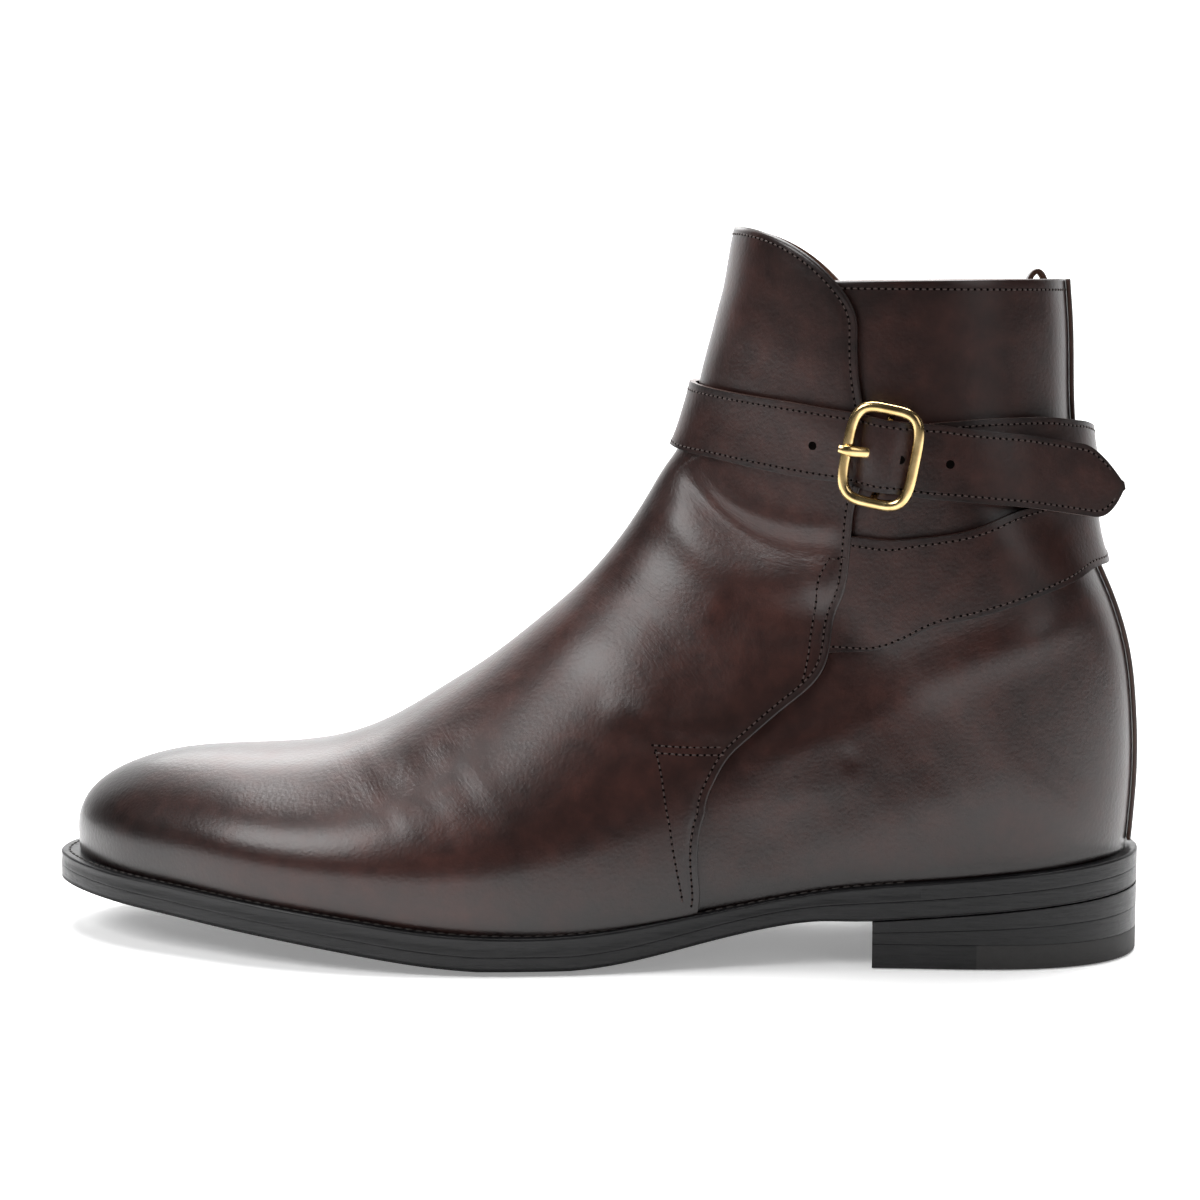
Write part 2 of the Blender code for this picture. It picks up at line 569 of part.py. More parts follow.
FLAP_TOP_ROW = 27.0
FLAP_FALL_FROM = 21.0
FLAP_FALL = 2.1
EDGE_ROW = column(VAMP_EDGE, "row")
EDGE_TURN = {-1: cubic(EDGE_ROW, column(VAMP_EDGE, "lateral")),
             1: cubic(EDGE_ROW, column(VAMP_EDGE, "medial"))}


def vamp_turn(row, side):
    return np.where(row <= EDGE_ROW[0], 1.0, np.minimum(EDGE_TURN[side](row), 1.0))


def vamp_point(line, across, lift):
    """Vamp point; line runs from the toe to the flap's top, across from -1 to 1."""
    line, across = np.broadcast_arrays(np.asarray(line, float), np.asarray(across, float))
    limit = np.where(across < 0, vamp_turn(line, -1), vamp_turn(line, 1))
    fall = FLAP_FALL * (1 - np.sqrt(np.maximum(1 - np.abs(across) ** 3, 0.0)))
    ramp = ease((line - FLAP_FALL_FROM) / (FLAP_TOP_ROW - FLAP_FALL_FROM))
    return shell(line - fall * ramp, across * limit, lift)


vamp_lines = np.r_[foot_rows, 11.6, 11.75, 11.9, 12.1, 12.45, 12.9, 13.5, 14.2, 15.0, 15.8,
                   16.6, 17.4, np.linspace(18.3, FLAP_TOP_ROW, 10)]
solid("vamp", *slab(vamp_point(vamp_lines[:, None], upper_turns[None, :],
                                VAMP_LIFT + VAMP_THICK),
                    vamp_point(vamp_lines[:, None], upper_turns[None, :], VAMP_LIFT),
                     fold=True),
      LEATHER, 0.35)


# Straps follow the shaft. round: 0 at the front, 1 at the back seam, 2 at the front again,
# starting on the side where the strap is sewn; row: section; lift, thick: millimetres
STRAP_LONG = [
    dict(top=0.39, top_row=20.02, low=0.397, low_row=15.15, lift=0.4, thick=1.4),
    dict(top=0.43, top_row=20.52, low=0.39, low_row=16.05, lift=0.4, thick=1.5),
    dict(top=0.468, top_row=20.93, low=0.412, low_row=17.34, lift=0.4, thick=1.6),
    dict(top=0.527, top_row=21.44, low=0.48, low_row=19.12, lift=0.4, thick=1.8),
    dict(top=0.595, top_row=21.96, low=0.55, low_row=20.14, lift=0.4, thick=2),
    dict(top=0.677, top_row=22.5, low=0.63, low_row=20.9, lift=0.4, thick=2),
    dict(top=0.742, top_row=22.83, low=0.698, low_row=21.46, lift=0.4, thick=2),
    dict(top=0.805, top_row=23.06, low=0.768, low_row=21.88, lift=0.5, thick=2),
    dict(top=0.87, top_row=23.22, low=0.86, low_row=22.25, lift=0.9, thick=1.9),
    dict(top=0.935, top_row=23.29, low=0.935, low_row=22.36, lift=2.1, thick=1.8),
    dict(top=1, top_row=23.37, low=1, low_row=22.43, lift=2.3, thick=1.8),
    dict(top=1.07, top_row=23.4, low=1.07, low_row=22.5, lift=2.1, thick=1.8),
    dict(top=1.14, top_row=23.45, low=1.13, low_row=22.57, lift=1.1, thick=1.9),
    dict(top=1.21, top_row=23.43, low=1.2, low_row=22.53, lift=0.8, thick=2),
    dict(top=1.34, top_row=23.37, low=1.33, low_row=22.39, lift=0.6, thick=2),
    dict(top=1.46, top_row=23.32, low=1.445, low_row=22.24, lift=0.9, thick=2.1),
    dict(top=1.53, top_row=23.24, low=1.515, low_row=22.06, lift=2.5, thick=2.2),
    dict(top=1.6, top_row=23.12, low=1.585, low_row=21.8, lift=2.8, thick=2.2),
    dict(top=1.72, top_row=22.75, low=1.71, low_row=21, lift=2.8, thick=2.2),
    dict(top=1.84, top_row=22.21, low=1.835, low_row=19.89, lift=2.8, thick=2.2),
    dict(top=1.93, top_row=21.84, low=1.93, low_row=18.68, lift=2.8, thick=2.2),
    dict(top=2, top_row=21.69, low=2, low_row=18.07, lift=2.8, thick=2.2),
    dict(top=2.07, top_row=21.76, low=2.07, low_row=18.53, lift=2.8, thick=2.2),
    dict(top=2.16, top_row=22.08, low=2.155, low_row=19.59, lift=2.8, thick=2.2),
    dict(top=2.28, top_row=22.61, low=2.265, low_row=20.58, lift=2.8, thick=2.2),
    dict(top=2.375, top_row=22.96, low=2.345, low_row=21.16, lift=2.8, thick=2.1),
    dict(top=2.430, top_row=23.14, low=2.376, low_row=21.39, lift=2.8, thick=2),
    dict(top=2.447, top_row=23.19, low=2.393, low_row=21.49, lift=2.8, thick=2),
    dict(top=2.458, top_row=23.22, low=2.404, low_row=21.55, lift=2.95, thick=2),
    dict(top=2.470, top_row=23.25, low=2.415, low_row=21.62, lift=3.7, thick=2),
    dict(top=2.484, top_row=23.28, low=2.430, low_row=21.69, lift=4.6, thick=2),
    dict(top=2.498, top_row=23.31, low=2.444, low_row=21.76, lift=5.3, thick=2),
    dict(top=2.512, top_row=23.35, low=2.458, low_row=21.83, lift=5.5, thick=2),
    dict(top=2.526, top_row=23.38, low=2.472, low_row=21.91, lift=5.3, thick=2),
    dict(top=2.537, top_row=23.41, low=2.483, low_row=21.96, lift=4.6, thick=2),
    dict(top=2.552, top_row=23.45, low=2.498, low_row=22.02, lift=3.7, thick=2),
    dict(top=2.569, top_row=23.49, low=2.515, low_row=22.09, lift=3.1, thick=2),
    dict(top=2.599, top_row=23.57, low=2.545, low_row=22.21, lift=2.8, thick=2),
    dict(top=2.640, top_row=23.64, low=2.600, low_row=22.42, lift=2.7, thick=2),
    dict(top=2.705, top_row=23.75, low=2.690, low_row=22.69, lift=2.9, thick=2),
    dict(top=2.745, top_row=23.8, low=2.745, low_row=22.81, lift=3.4, thick=2),
]
STRAP_BUCKLE = [
    dict(top=0.39, top_row=20.02, low=0.397, low_row=15.15, lift=0.4, thick=1.4),
    dict(top=0.43, top_row=20.52, low=0.39, low_row=16.05, lift=0.4, thick=1.5),
    dict(top=0.468, top_row=20.93, low=0.412, low_row=17.34, lift=0.4, thick=1.6),
    dict(top=0.51, top_row=21.35, low=0.48, low_row=19.12, lift=0.5, thick=1.8),
    dict(top=0.56, top_row=21.75, low=0.56, low_row=20.25, lift=1.4, thick=2),
    dict(top=0.61, top_row=22.11, low=0.635, low_row=20.99, lift=2.6, thick=2),
    dict(top=0.71, top_row=22.78, low=0.73, low_row=21.79, lift=3.1, thick=2),
    dict(top=0.79, top_row=23.22, low=0.8, low_row=22.28, lift=3.2, thick=2),
    dict(top=0.86, top_row=23.58, low=0.87, low_row=22.68, lift=3.5, thick=2),
    dict(top=0.93, top_row=23.86, low=0.93, low_row=22.94, lift=4.2, thick=2),
    dict(top=1, top_row=24.06, low=1, low_row=23.15, lift=4.4, thick=2),
    dict(top=1.05, top_row=24.12, low=1.045, low_row=23.21, lift=4.3, thick=2),
    dict(top=1.09, top_row=24.15, low=1.08, low_row=23.24, lift=3.9, thick=2),
    dict(top=1.13, top_row=24.15, low=1.12, low_row=23.24, lift=3.2, thick=2),
    dict(top=1.18, top_row=24.14, low=1.17, low_row=23.22, lift=2.2, thick=2),
    dict(top=1.232, top_row=24.08, low=1.243, low_row=23.08, lift=0.8, thick=2),
    dict(top=1.305, top_row=23.93, low=1.330, low_row=22.82, lift=0.4, thick=2),
    dict(top=1.372, top_row=23.72, low=1.405, low_row=22.55, lift=0.4, thick=1.8),
    dict(top=1.423, top_row=23.52, low=1.462, low_row=22.25, lift=0.9, thick=1.5),
]
MM = 0.001
TAIL_FREE = 0.0275
TAIL_POINT = 0.011
BUCKLE_ROUND = 0.482
BUCKLE_RISE = 0.7525
BAR_OUT = 0.0026
ROOT_GAP = 0.0055
STRAP_STEP = 0.045
FRAME_OUT = 0.0071
FRAME_THICK = 0.0026
SLOT_WIDTH = 0.0038
HOLE_AHEAD = 0.0034
HOLE_LENGTH = 0.0058


def strap_turn(way_round, side):
    """Turn on the skin of a place round the shaft, for a strap sewn on one side."""
    return side * (np.mod(np.asarray(way_round, float) + 1, 2) - 1)


def strap_grid(table, side, across):
    """Inner and outer faces of a strap; its first end follows the vamp's edge."""
    keys = np.arange(len(table), dtype=float)
    gaps = np.abs(np.diff(column(table, "top")))
    t = np.concatenate([[k] if gap <= STRAP_STEP else [k, k + 0.5] for k, gap in zip(keys, gaps)]
                       + [keys[-1:]])
    got = {name: cubic(keys, column(table, name))(t)[:, None] for name in table[0]}
    share = (np.asarray(across)[None, :] + 1) / 2
    way_round = got["low"] + share * (got["top"] - got["low"])
    row = got["low_row"] + share * (got["top_row"] - got["low_row"])
    way_round[0] = vamp_turn(row[0], side) + ROOT_GAP
    turn = strap_turn(way_round, side)
    lift = got["lift"] * MM + 0 * share
    inner = shell(row, turn, lift)
    normal = skin_normal(row, turn)
    return inner, inner + normal * (got["thick"] * MM)[..., None]


across_line = np.array([-1.0, 0.0, 1.0])
long_in, long_out = strap_grid(STRAP_LONG, -1, across_line)
# Free tail: it leaves the boot straight and ends in a point
run = unit((long_in[-1] - long_in[-3]).mean(0))
ahead = np.array([0.25, 0.5, 0.7, 0.80, 0.87, 0.93, 0.97, 1.0]) * TAIL_FREE
narrow = np.clip((TAIL_FREE - ahead) / TAIL_POINT, 0.0, 1.0)
narrow = np.maximum(np.sin(narrow * np.pi / 2) ** 0.85, 0.12)
tail = []
for face in (long_in, long_out):
    middle = face[-1].mean(0)
    spread = face[-1] - middle
    drop = np.array([0.0, 0.06, -0.05])
    tail.append(np.stack([middle + run * d + drop * d + spread * n for d, n in zip(ahead, narrow)]))
long_in = np.concatenate([long_in, tail[0]])
long_out = np.concatenate([long_out, tail[1]])
strap_long = solid("strap_long", *slab(long_out, long_in), LEATHER, 0.35)

# Buckle frame of reference: along points to the heel, up across the strap, out of the boot
centre_row = row_at(-BUCKLE_ROUND, BUCKLE_RISE * COLLAR_HEIGHT)
centre = skin(centre_row, -BUCKLE_ROUND)
out_dir = skin_normal(centre_row, -BUCKLE_ROUND)
ahead_row = row_at(-BUCKLE_ROUND - 0.06, (BUCKLE_RISE - 0.009) * COLLAR_HEIGHT)
along_dir = skin(ahead_row, -BUCKLE_ROUND - 0.06) - centre
along_dir = unit(along_dir - out_dir * np.dot(along_dir, out_dir))
up_dir = np.cross(out_dir, along_dir)
up_dir = up_dir if up_dir[2] > 0 else -up_dir


def local(along, up, out):
    """Points given along the strap, across it and out of the boot at the buckle."""
    along, up, out = np.broadcast_arrays(along, up, out)
    return (centre + along[..., None] * along_dir + up[..., None] * up_dir
            + out[..., None] * out_dir)


def ribbon(along, out, thick, half_wide):
    """Two faces of a band that follows a line beside the buckle."""
    run = np.gradient(np.stack([along, out], -1), axis=0)
    run /= np.linalg.norm(run, axis=-1, keepdims=True)
    faces = []
    for sign in (-0.5, 0.5):
        a = along + sign * thick * run[:, 1]
        o = out - sign * thick * run[:, 0]
        faces.append(local(a[:, None], half_wide * across_line[None, :], o[:, None]))
    return faces


def box(name, middle, size):
    """Cutter lined up with the buckle."""
    corners = np.array([[i, j, k] for i in (-0.5, 0.5) for j in (-0.5, 0.5) for k in (-0.5, 0.5)])
    spots = np.array(middle) + corners * np.array(size)
    points = local(spots[:, 0], spots[:, 1], spots[:, 2])
    faces = [[0, 1, 3, 2], [4, 6, 7, 5], [0, 4, 5, 1], [2, 3, 7, 6], [0, 2, 6, 4], [1, 5, 7, 3]]
    cutter = solid(name, points, faces, GOLD, 0.5)
    cutter.hide_render = True
    cutter.display_type = "WIRE"
    return cutter


def combine(target, other, operation):
    step = target.modifiers.new(operation.lower(), "BOOLEAN")
    step.operation = operation
    step.solver = "EXACT"
    step.object = other


# Buckle strap: round the back to the buckle, then round the centre bar and back under itself
buckle_in, buckle_out = strap_grid(STRAP_BUCKLE, 1, across_line)
wrap = CENTRE_BAR / 2 + CLEAR + LOOP_THICK / 2
bend = np.radians(np.linspace(90, 270, 9))
loop_along = np.r_[4.2 * wrap, 2.8 * wrap, 1.35 * wrap, wrap * np.cos(bend), 1.6 * wrap, 3.4 * wrap]
loop_out = BAR_OUT + np.r_[-0.52 * wrap, 0.10 * wrap, 0.90 * wrap, wrap * np.sin(bend), -wrap, -wrap]
loop_in, loop_over = ribbon(loop_along, loop_out, LOOP_THICK, LOOP_WIDTH / 2)
strap_buckle = solid("strap_buckle", *slab(np.concatenate([buckle_out, loop_over]),
                                           np.concatenate([buckle_in, loop_in])), LEATHER, 0.35)
slot = box("slot_cutter", (0.0, 0.0, BAR_OUT), (2 * HOLE_LENGTH, SLOT_WIDTH, 4 * wrap))
combine(strap_buckle, slot, "DIFFERENCE")
hole = box("hole_cutter", (-HOLE_AHEAD, 0.0, FRAME_OUT), (HOLE_LENGTH, SLOT_WIDTH, FRAME_OUT))
combine(strap_long, hole, "DIFFERENCE")


def tube(path_along, path_up, path_out, wide, thick, loop):
    """Sections of a rounded bar along a line beside the buckle."""
    path = np.stack([path_along, path_up, path_out], -1)
    if loop:
        run = np.roll(path, -1, 0) - np.roll(path, 1, 0)
    else:
        run = np.gradient(path, axis=0)
    run = unit(run)
    side = unit(np.cross(run, np.array([0.0, 0.0, 1.0])))
    over = np.cross(side, run)
    angle = np.linspace(0, 2 * np.pi, 8, endpoint=False) + np.pi / 8
    points = (path[:, None] + side[:, None] * (wide / 2 * np.cos(angle))[None, :, None]
              + over[:, None] * (thick / 2 * np.sin(angle))[None, :, None])
    return local(points[..., 0], points[..., 1], points[..., 2])


# Frame: a cushion-shaped ring; its centre bar dips toward the boot
half_along = (BUCKLE_LENGTH - FRAME_BAR) / 2
half_up = (BUCKLE_WIDTH - FRAME_BAR) / 2
angle = np.linspace(0, 2 * np.pi, 28, endpoint=False)
power = 2 / 4.6
frame_along = half_along * np.sign(np.cos(angle)) * np.abs(np.cos(angle)) ** power
frame_up = half_up * np.sign(np.sin(angle)) * np.abs(np.sin(angle)) ** power
buckle_frame = solid("buckle_frame", *loft(tube(frame_along, frame_up, FRAME_OUT + 0 * angle,
                                                FRAME_BAR, FRAME_THICK, True), loop=True),
                     GOLD, 0.2, metal=1.0)
bar_up = half_up * np.array([-1.0, -0.965, -0.93, -0.88, -0.80, 0.0, 0.80, 0.88, 0.93, 0.965, 1.0])
dip = np.array([0.0, 0.30, 0.62, 0.90, 1.0, 1.0, 1.0, 0.90, 0.62, 0.30, 0.0])
bar = solid("centre_bar", *loft(tube(0 * dip, bar_up, FRAME_OUT + dip * (BAR_OUT - FRAME_OUT),
                                     CENTRE_BAR, CENTRE_BAR, False)), GOLD, 0.2, metal=1.0)
bar.hide_render = True
bar.display_type = "WIRE"
combine(buckle_frame, bar, "UNION")

# Prong: hooked round the centre bar, through the strap's hole and over the front bar
hook = CENTRE_BAR / 2 + CLEAR + PRONG_THICK / 4
turn_hook = np.radians(np.linspace(-120, 90, 9))
rest_out = FRAME_OUT + FRAME_THICK / 2 + CLEAR + PRONG_THICK / 2
rest = half_along
prong_along = np.r_[hook * np.cos(turn_hook), -hook, -0.37 * rest, -0.58 * rest, -0.80 * rest,
                    -rest, -1.19 * rest]
climb = np.array([0.33, 0.51, 0.72, 0.91, 1.01, 0.99])
prong_out = np.r_[BAR_OUT + hook * np.sin(turn_hook), BAR_OUT + climb * (rest_out - BAR_OUT)]
prong_thick = PRONG_THICK * np.r_[0.5 + 0 * turn_hook, 0.7, 0.9, 1.0, 1.0, 1.0, 0.8]
prong_in, prong_over = ribbon(prong_along, prong_out, prong_thick, PRONG_WIDTH / 2)
solid("buckle_prong", *slab(prong_over, prong_in), GOLD, 0.2, metal=1.0, smooth=False)

# Back strip over the seam, from the heel seat to the collar
strip_rows = np.r_[HEEL_ROW + 0.05, upper_rows[heel_index + 1:]]
reach = np.linalg.norm(skin(strip_rows, 0.99) - skin(strip_rows, 1.0), axis=-1) / 0.01
strip_turn = 1 - STRIP_WIDTH / 2 / reach[:, None] * np.array([1, 0.5, 0, -0.5, -1])[None, :]
strip_turn = np.where(strip_turn > 1, strip_turn - 2, strip_turn)
solid("back_strip", *slab(shell(strip_rows[:, None], strip_turn, CLEAR + STRIP_THICK),
                          shell(strip_rows[:, None], strip_turn, CLEAR)), LEATHER, 0.4)

# Pull loop inside the back of the collar: distance from the wall and height, millimetres
PULL_LINE = [
    dict(inside=1.9, rise=-30.0), dict(inside=1.9, rise=-18.0), dict(inside=1.9, rise=-7.0),
    dict(inside=2.0, rise=-2.0), dict(inside=2.8, rise=1.2), dict(inside=4.8, rise=3.2),
    dict(inside=7.2, rise=2.8), dict(inside=9.0, rise=0.2), dict(inside=9.6, rise=-4.0),
    dict(inside=8.8, rise=-10.0), dict(inside=6.6, rise=-18.0), dict(inside=4.4, rise=-25.0),
    dict(inside=3.9, rise=-30.0),
]
line = np.stack([column(PULL_LINE, "inside", -MM), column(PULL_LINE, "rise", MM)], -1)
run = unit(np.gradient(line, axis=0))
offset = np.stack([-run[:, 1], run[:, 0]], -1) * PULL_THICK / 2
wall_x = SEAM_X(np.minimum(COLLAR_HEIGHT + line[:, 1], COLLAR_HEIGHT)) - WALL
wall_x += feather(WAY_END)[0] - SEAM_X(SEAT_Z)
pull_faces = []
for sign in (1, -1):
    spot = line + sign * offset
    pull_faces.append(np.stack([np.stack([wall_x + spot[:, 0], 0 * wall_x + y,
                                          COLLAR_HEIGHT + spot[:, 1]], -1)
                                for y in (-PULL_WIDTH / 2, PULL_WIDTH / 2)], 1))
solid("pull_loop", *slab(pull_faces[0], pull_faces[1]), LEATHER, 0.5)
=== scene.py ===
import bmesh
import bpy
import numpy as np
from mathutils import Matrix, Vector


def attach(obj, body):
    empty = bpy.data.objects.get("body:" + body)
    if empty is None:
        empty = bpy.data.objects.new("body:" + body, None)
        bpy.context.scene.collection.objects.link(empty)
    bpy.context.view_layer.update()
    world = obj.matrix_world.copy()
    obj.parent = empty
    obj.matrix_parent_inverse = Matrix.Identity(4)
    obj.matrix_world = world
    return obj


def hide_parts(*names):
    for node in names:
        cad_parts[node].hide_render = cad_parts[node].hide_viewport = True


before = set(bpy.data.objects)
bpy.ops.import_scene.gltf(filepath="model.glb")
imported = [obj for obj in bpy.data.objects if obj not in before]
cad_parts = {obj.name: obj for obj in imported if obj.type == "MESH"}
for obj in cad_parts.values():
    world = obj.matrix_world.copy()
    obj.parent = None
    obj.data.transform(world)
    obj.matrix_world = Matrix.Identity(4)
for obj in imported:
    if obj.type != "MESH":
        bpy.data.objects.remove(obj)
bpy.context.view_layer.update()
print("frame loaded,", len(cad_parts), "solids")

mm = 0.001
last = dict(soleLength=0.309, ballWidth=0.108, collarHeight=0.185, heelLength=0.075,
            heelRear=0.0375, gap=0.0003, wall=0.002)

# Sole outline from the toe to the heel: place on the length, lateral and medial reach
outlineRows = [
    (1.0, -0.006, 0.006), (0.997, 0.060, 0.073), (0.984, 0.130, 0.143), (0.958, 0.210, 0.221),
    (0.919, 0.290, 0.301), (0.867, 0.360, 0.371), (0.809, 0.430, 0.432), (0.744, 0.483, 0.470),
    (0.680, 0.512, 0.479), (0.608, 0.517, 0.453), (0.534, 0.495, 0.396), (0.460, 0.449, 0.320),
    (0.388, 0.394, 0.272), (0.317, 0.352, 0.272), (0.243, 0.328, 0.298), (0.168, 0.320, 0.310),
    (0.104, 0.298, 0.298), (0.060, 0.250, 0.250), (0.033, 0.190, 0.190), (0.0145, 0.112, 0.112),
    (0.0065, 0.0, 0.0),
]

# Sole profile from the heel: place, under face, welt's top, inset of the upper's foot
soleRows = [
    (0.0, 0.1030, 0.1560, 0.031), (0.10, 0.0890, 0.1425, 0.027), (0.194, 0.0750, 0.1285, 0.023),
    (0.243, 0.0690, 0.1215, 0.024), (0.291, 0.0640, 0.1120, 0.027), (0.340, 0.0520, 0.0980, 0.030),
    (0.388, 0.0345, 0.0840, 0.034), (0.430, 0.0180, 0.0720, 0.038), (0.472, 0.0050, 0.0620, 0.042),
    (0.515, -0.0010, 0.0565, 0.045), (0.565, -0.0012, 0.0560, 0.047), (0.620, 0.0050, 0.0610, 0.047),
    (0.690, 0.0195, 0.0745, 0.046), (0.761, 0.0340, 0.0870, 0.045), (0.825, 0.0450, 0.0970, 0.045),
    (0.890, 0.0545, 0.1050, 0.050), (0.955, 0.0630, 0.1120, 0.060), (1.0, 0.0690, 0.1170, 0.0725),
]

# Back seam: height on the collar, place on the sole
seamRows = [
    (0.160, 0.0170), (0.205, 0.0150), (0.252, 0.0132), (0.310, 0.0130), (0.374, 0.0152),
    (0.433, 0.0194), (0.492, 0.0280), (0.551, 0.0415), (0.600, 0.0540), (0.670, 0.0625),
    (0.750, 0.0710), (0.825, 0.0752), (0.941, 0.0778), (1.0, 0.0808), (1.08, 0.0830),
]

# Last sections, toe to collar: place of the foot (then height on the back seam), ridge, crest,
# lateral swell, medial swell, belly, cheek, crown
footRows = [
    (1.000, 0.9080, 0.2520, 0.0035, 0.0035, 0.28, 0.55, 0.52),
    (0.985, 0.9010, 0.2550, 0.004, 0.004, 0.28, 0.55, 0.52),
    (0.955, 0.8860, 0.2600, 0.006, 0.006, 0.29, 0.55, 0.53),
    (0.915, 0.8650, 0.2640, 0.009, 0.009, 0.30, 0.54, 0.54),
    (0.865, 0.8350, 0.2665, 0.015, 0.012, 0.31, 0.55, 0.55),
    (0.805, 0.7920, 0.2700, 0.016, 0.012, 0.30, 0.52, 0.55),
    (0.740, 0.7370, 0.2840, 0.016, 0.012, 0.28, 0.47, 0.55),
    (0.680, 0.6840, 0.3180, 0.016, 0.013, 0.26, 0.42, 0.52),
    (0.620, 0.6370, 0.3650, 0.015, 0.016, 0.24, 0.37, 0.50),
    (0.555, 0.5910, 0.4150, 0.014, 0.024, 0.24, 0.34, 0.47),
    (0.490, 0.5490, 0.4700, 0.013, 0.036, 0.25, 0.33, 0.45),
    (0.425, 0.5120, 0.5230, 0.013, 0.045, 0.26, 0.33, 0.44),
    (0.360, 0.4825, 0.5750, 0.014, 0.042, 0.27, 0.34, 0.44),
    (0.290, 0.4590, 0.6260, 0.013, 0.030, 0.270, 0.35, 0.45),
    (0.215, 0.4445, 0.6650, 0.012, 0.017, 0.240, 0.37, 0.46),
    (0.138, 0.4350, 0.6940, 0.011, 0.013, 0.205, 0.39, 0.47),
    (0.068, 0.4290, 0.7110, 0.010, 0.012, 0.200, 0.41, 0.47),
    (0.018, 0.4215, 0.7260, 0.009, 0.011, 0.265, 0.42, 0.48),
    (0.000, 0.4170, 0.7380, 0.009, 0.011, 0.330, 0.42, 0.48),
]
shaftRows = [
    (0.235, 0.4110, 0.7550, 0.009, 0.011, 0.355, 0.43, 0.49),
    (0.320, 0.4065, 0.7800, 0.009, 0.011, 0.375, 0.44, 0.50),
    (0.420, 0.4000, 0.8170, 0.010, 0.012, 0.40, 0.46, 0.51),
    (0.530, 0.3950, 0.8550, 0.012, 0.014, 0.41, 0.48, 0.53),
    (0.650, 0.3890, 0.8950, 0.015, 0.017, 0.43, 0.50, 0.54),
    (0.770, 0.3835, 0.9300, 0.018, 0.020, 0.45, 0.52, 0.55),
    (0.890, 0.3785, 0.9630, 0.021, 0.023, 0.46, 0.53, 0.56),
    (1.0, 0.3740, 0.9950, 0.024, 0.026, 0.46, 0.54, 0.56),
    (1.09, 0.3665, 1.0750, 0.026, 0.028, 0.46, 0.54, 0.56),
]


def columns(table, scales):
    return [np.array([row[i] for row in table], float) * scale for i, scale in enumerate(scales)]


def ease(x):
    x = np.clip(x, 0.0, 1.0)
    return x * x * (3 - 2 * x)


def unit(vectors):
    return vectors / np.maximum(np.linalg.norm(vectors, axis=-1, keepdims=True), 1e-12)


def cubic(knots, values, loop=False):  # smooth line through the values
    knots, values = np.asarray(knots, float), np.asarray(values, float)
    count, gaps = len(knots), np.diff(knots)
    rises = np.diff(values) / gaps
    matrix, right = np.zeros((count, count)), np.zeros(count)
    for i in range(1, count - 1):
        matrix[i, i - 1], matrix[i, i + 1] = gaps[i], gaps[i - 1]
        matrix[i, i] = 2 * (gaps[i - 1] + gaps[i])
        right[i] = 3 * (gaps[i] * rises[i - 1] + gaps[i - 1] * rises[i])
    if loop:
        matrix[0, 0], matrix[0, -1] = 1, -1
        matrix[-1, 0] += 2 * gaps[-1]
        matrix[-1, 1], matrix[-1, -2] = gaps[-1], gaps[0]
        matrix[-1, -1] += 2 * gaps[0]
        right[-1] = 3 * (gaps[-1] * rises[0] + gaps[0] * rises[-1])
    else:
        matrix[0, 0], matrix[0, 1], right[0] = 2, 1, 3 * rises[0]
        matrix[-1, -1], matrix[-1, -2], right[-1] = 2, 1, 3 * rises[-1]
    slopes = np.linalg.solve(matrix, right)

    def at(x):
        x = np.asarray(x, float)
        if loop:
            x = knots[0] + np.mod(x - knots[0], knots[-1] - knots[0])
        i = np.clip(np.searchsorted(knots, x, side="right") - 1, 0, count - 2)
        g = gaps[i]
        t = (x - knots[i]) / g
        a, b = values[i], values[i + 1]
        return (a * (1 + 2 * t) * (1 - t) ** 2 + b * t * t * (3 - 2 * t)
                + g * t * (1 - t) * (slopes[i] * (1 - t) - slopes[i + 1] * t))
    return at


# The outline is one closed line: way is 0 at the toe, positive on the lateral side
outAt, outLateral, outMedial = columns(outlineRows, (last["soleLength"], last["ballWidth"],
                                                     last["ballWidth"]))
wayKnots = np.r_[0.0, np.cumsum(0.5 * (np.hypot(np.diff(outAt), np.diff(outLateral))
                                       + np.hypot(np.diff(outAt), np.diff(outMedial))))]
wayEnd = wayKnots[-1]
loopKnots = np.r_[-wayKnots[::-1], wayKnots[1:]]
outlineX = cubic(loopKnots, last["heelRear"] - np.r_[outAt[::-1], outAt[1:]], loop=True)
outlineY = cubic(loopKnots, np.r_[outMedial[::-1], -outLateral[1:]], loop=True)
soleAt, soleUnder, soleTop, soleInset = columns(
    soleRows, (last["soleLength"], last["collarHeight"], last["collarHeight"], last["ballWidth"]))
underLine, topLine, insetLine = (cubic(soleAt, soleUnder), cubic(soleAt, soleTop),
                                 cubic(soleAt, soleInset))


def underZ(x):
    return np.maximum(underLine(last["heelRear"] - x), 0.0)


def weltZ(x):
    return topLine(last["heelRear"] - x)


def outlineAt(way, inside=0.0):
    step = last["soleLength"] * 1e-4
    dx = outlineX(way + step) - outlineX(way - step)
    dy = outlineY(way + step) - outlineY(way - step)
    size = np.hypot(dx, dy)
    return np.stack([outlineX(way) - inside * dy / size, outlineY(way) + inside * dx / size], -1)


def featherAt(way, inside=0.0):  # where the upper's foot meets the welt
    return outlineAt(way, insetLine(last["heelRear"] - outlineX(way)) + inside)


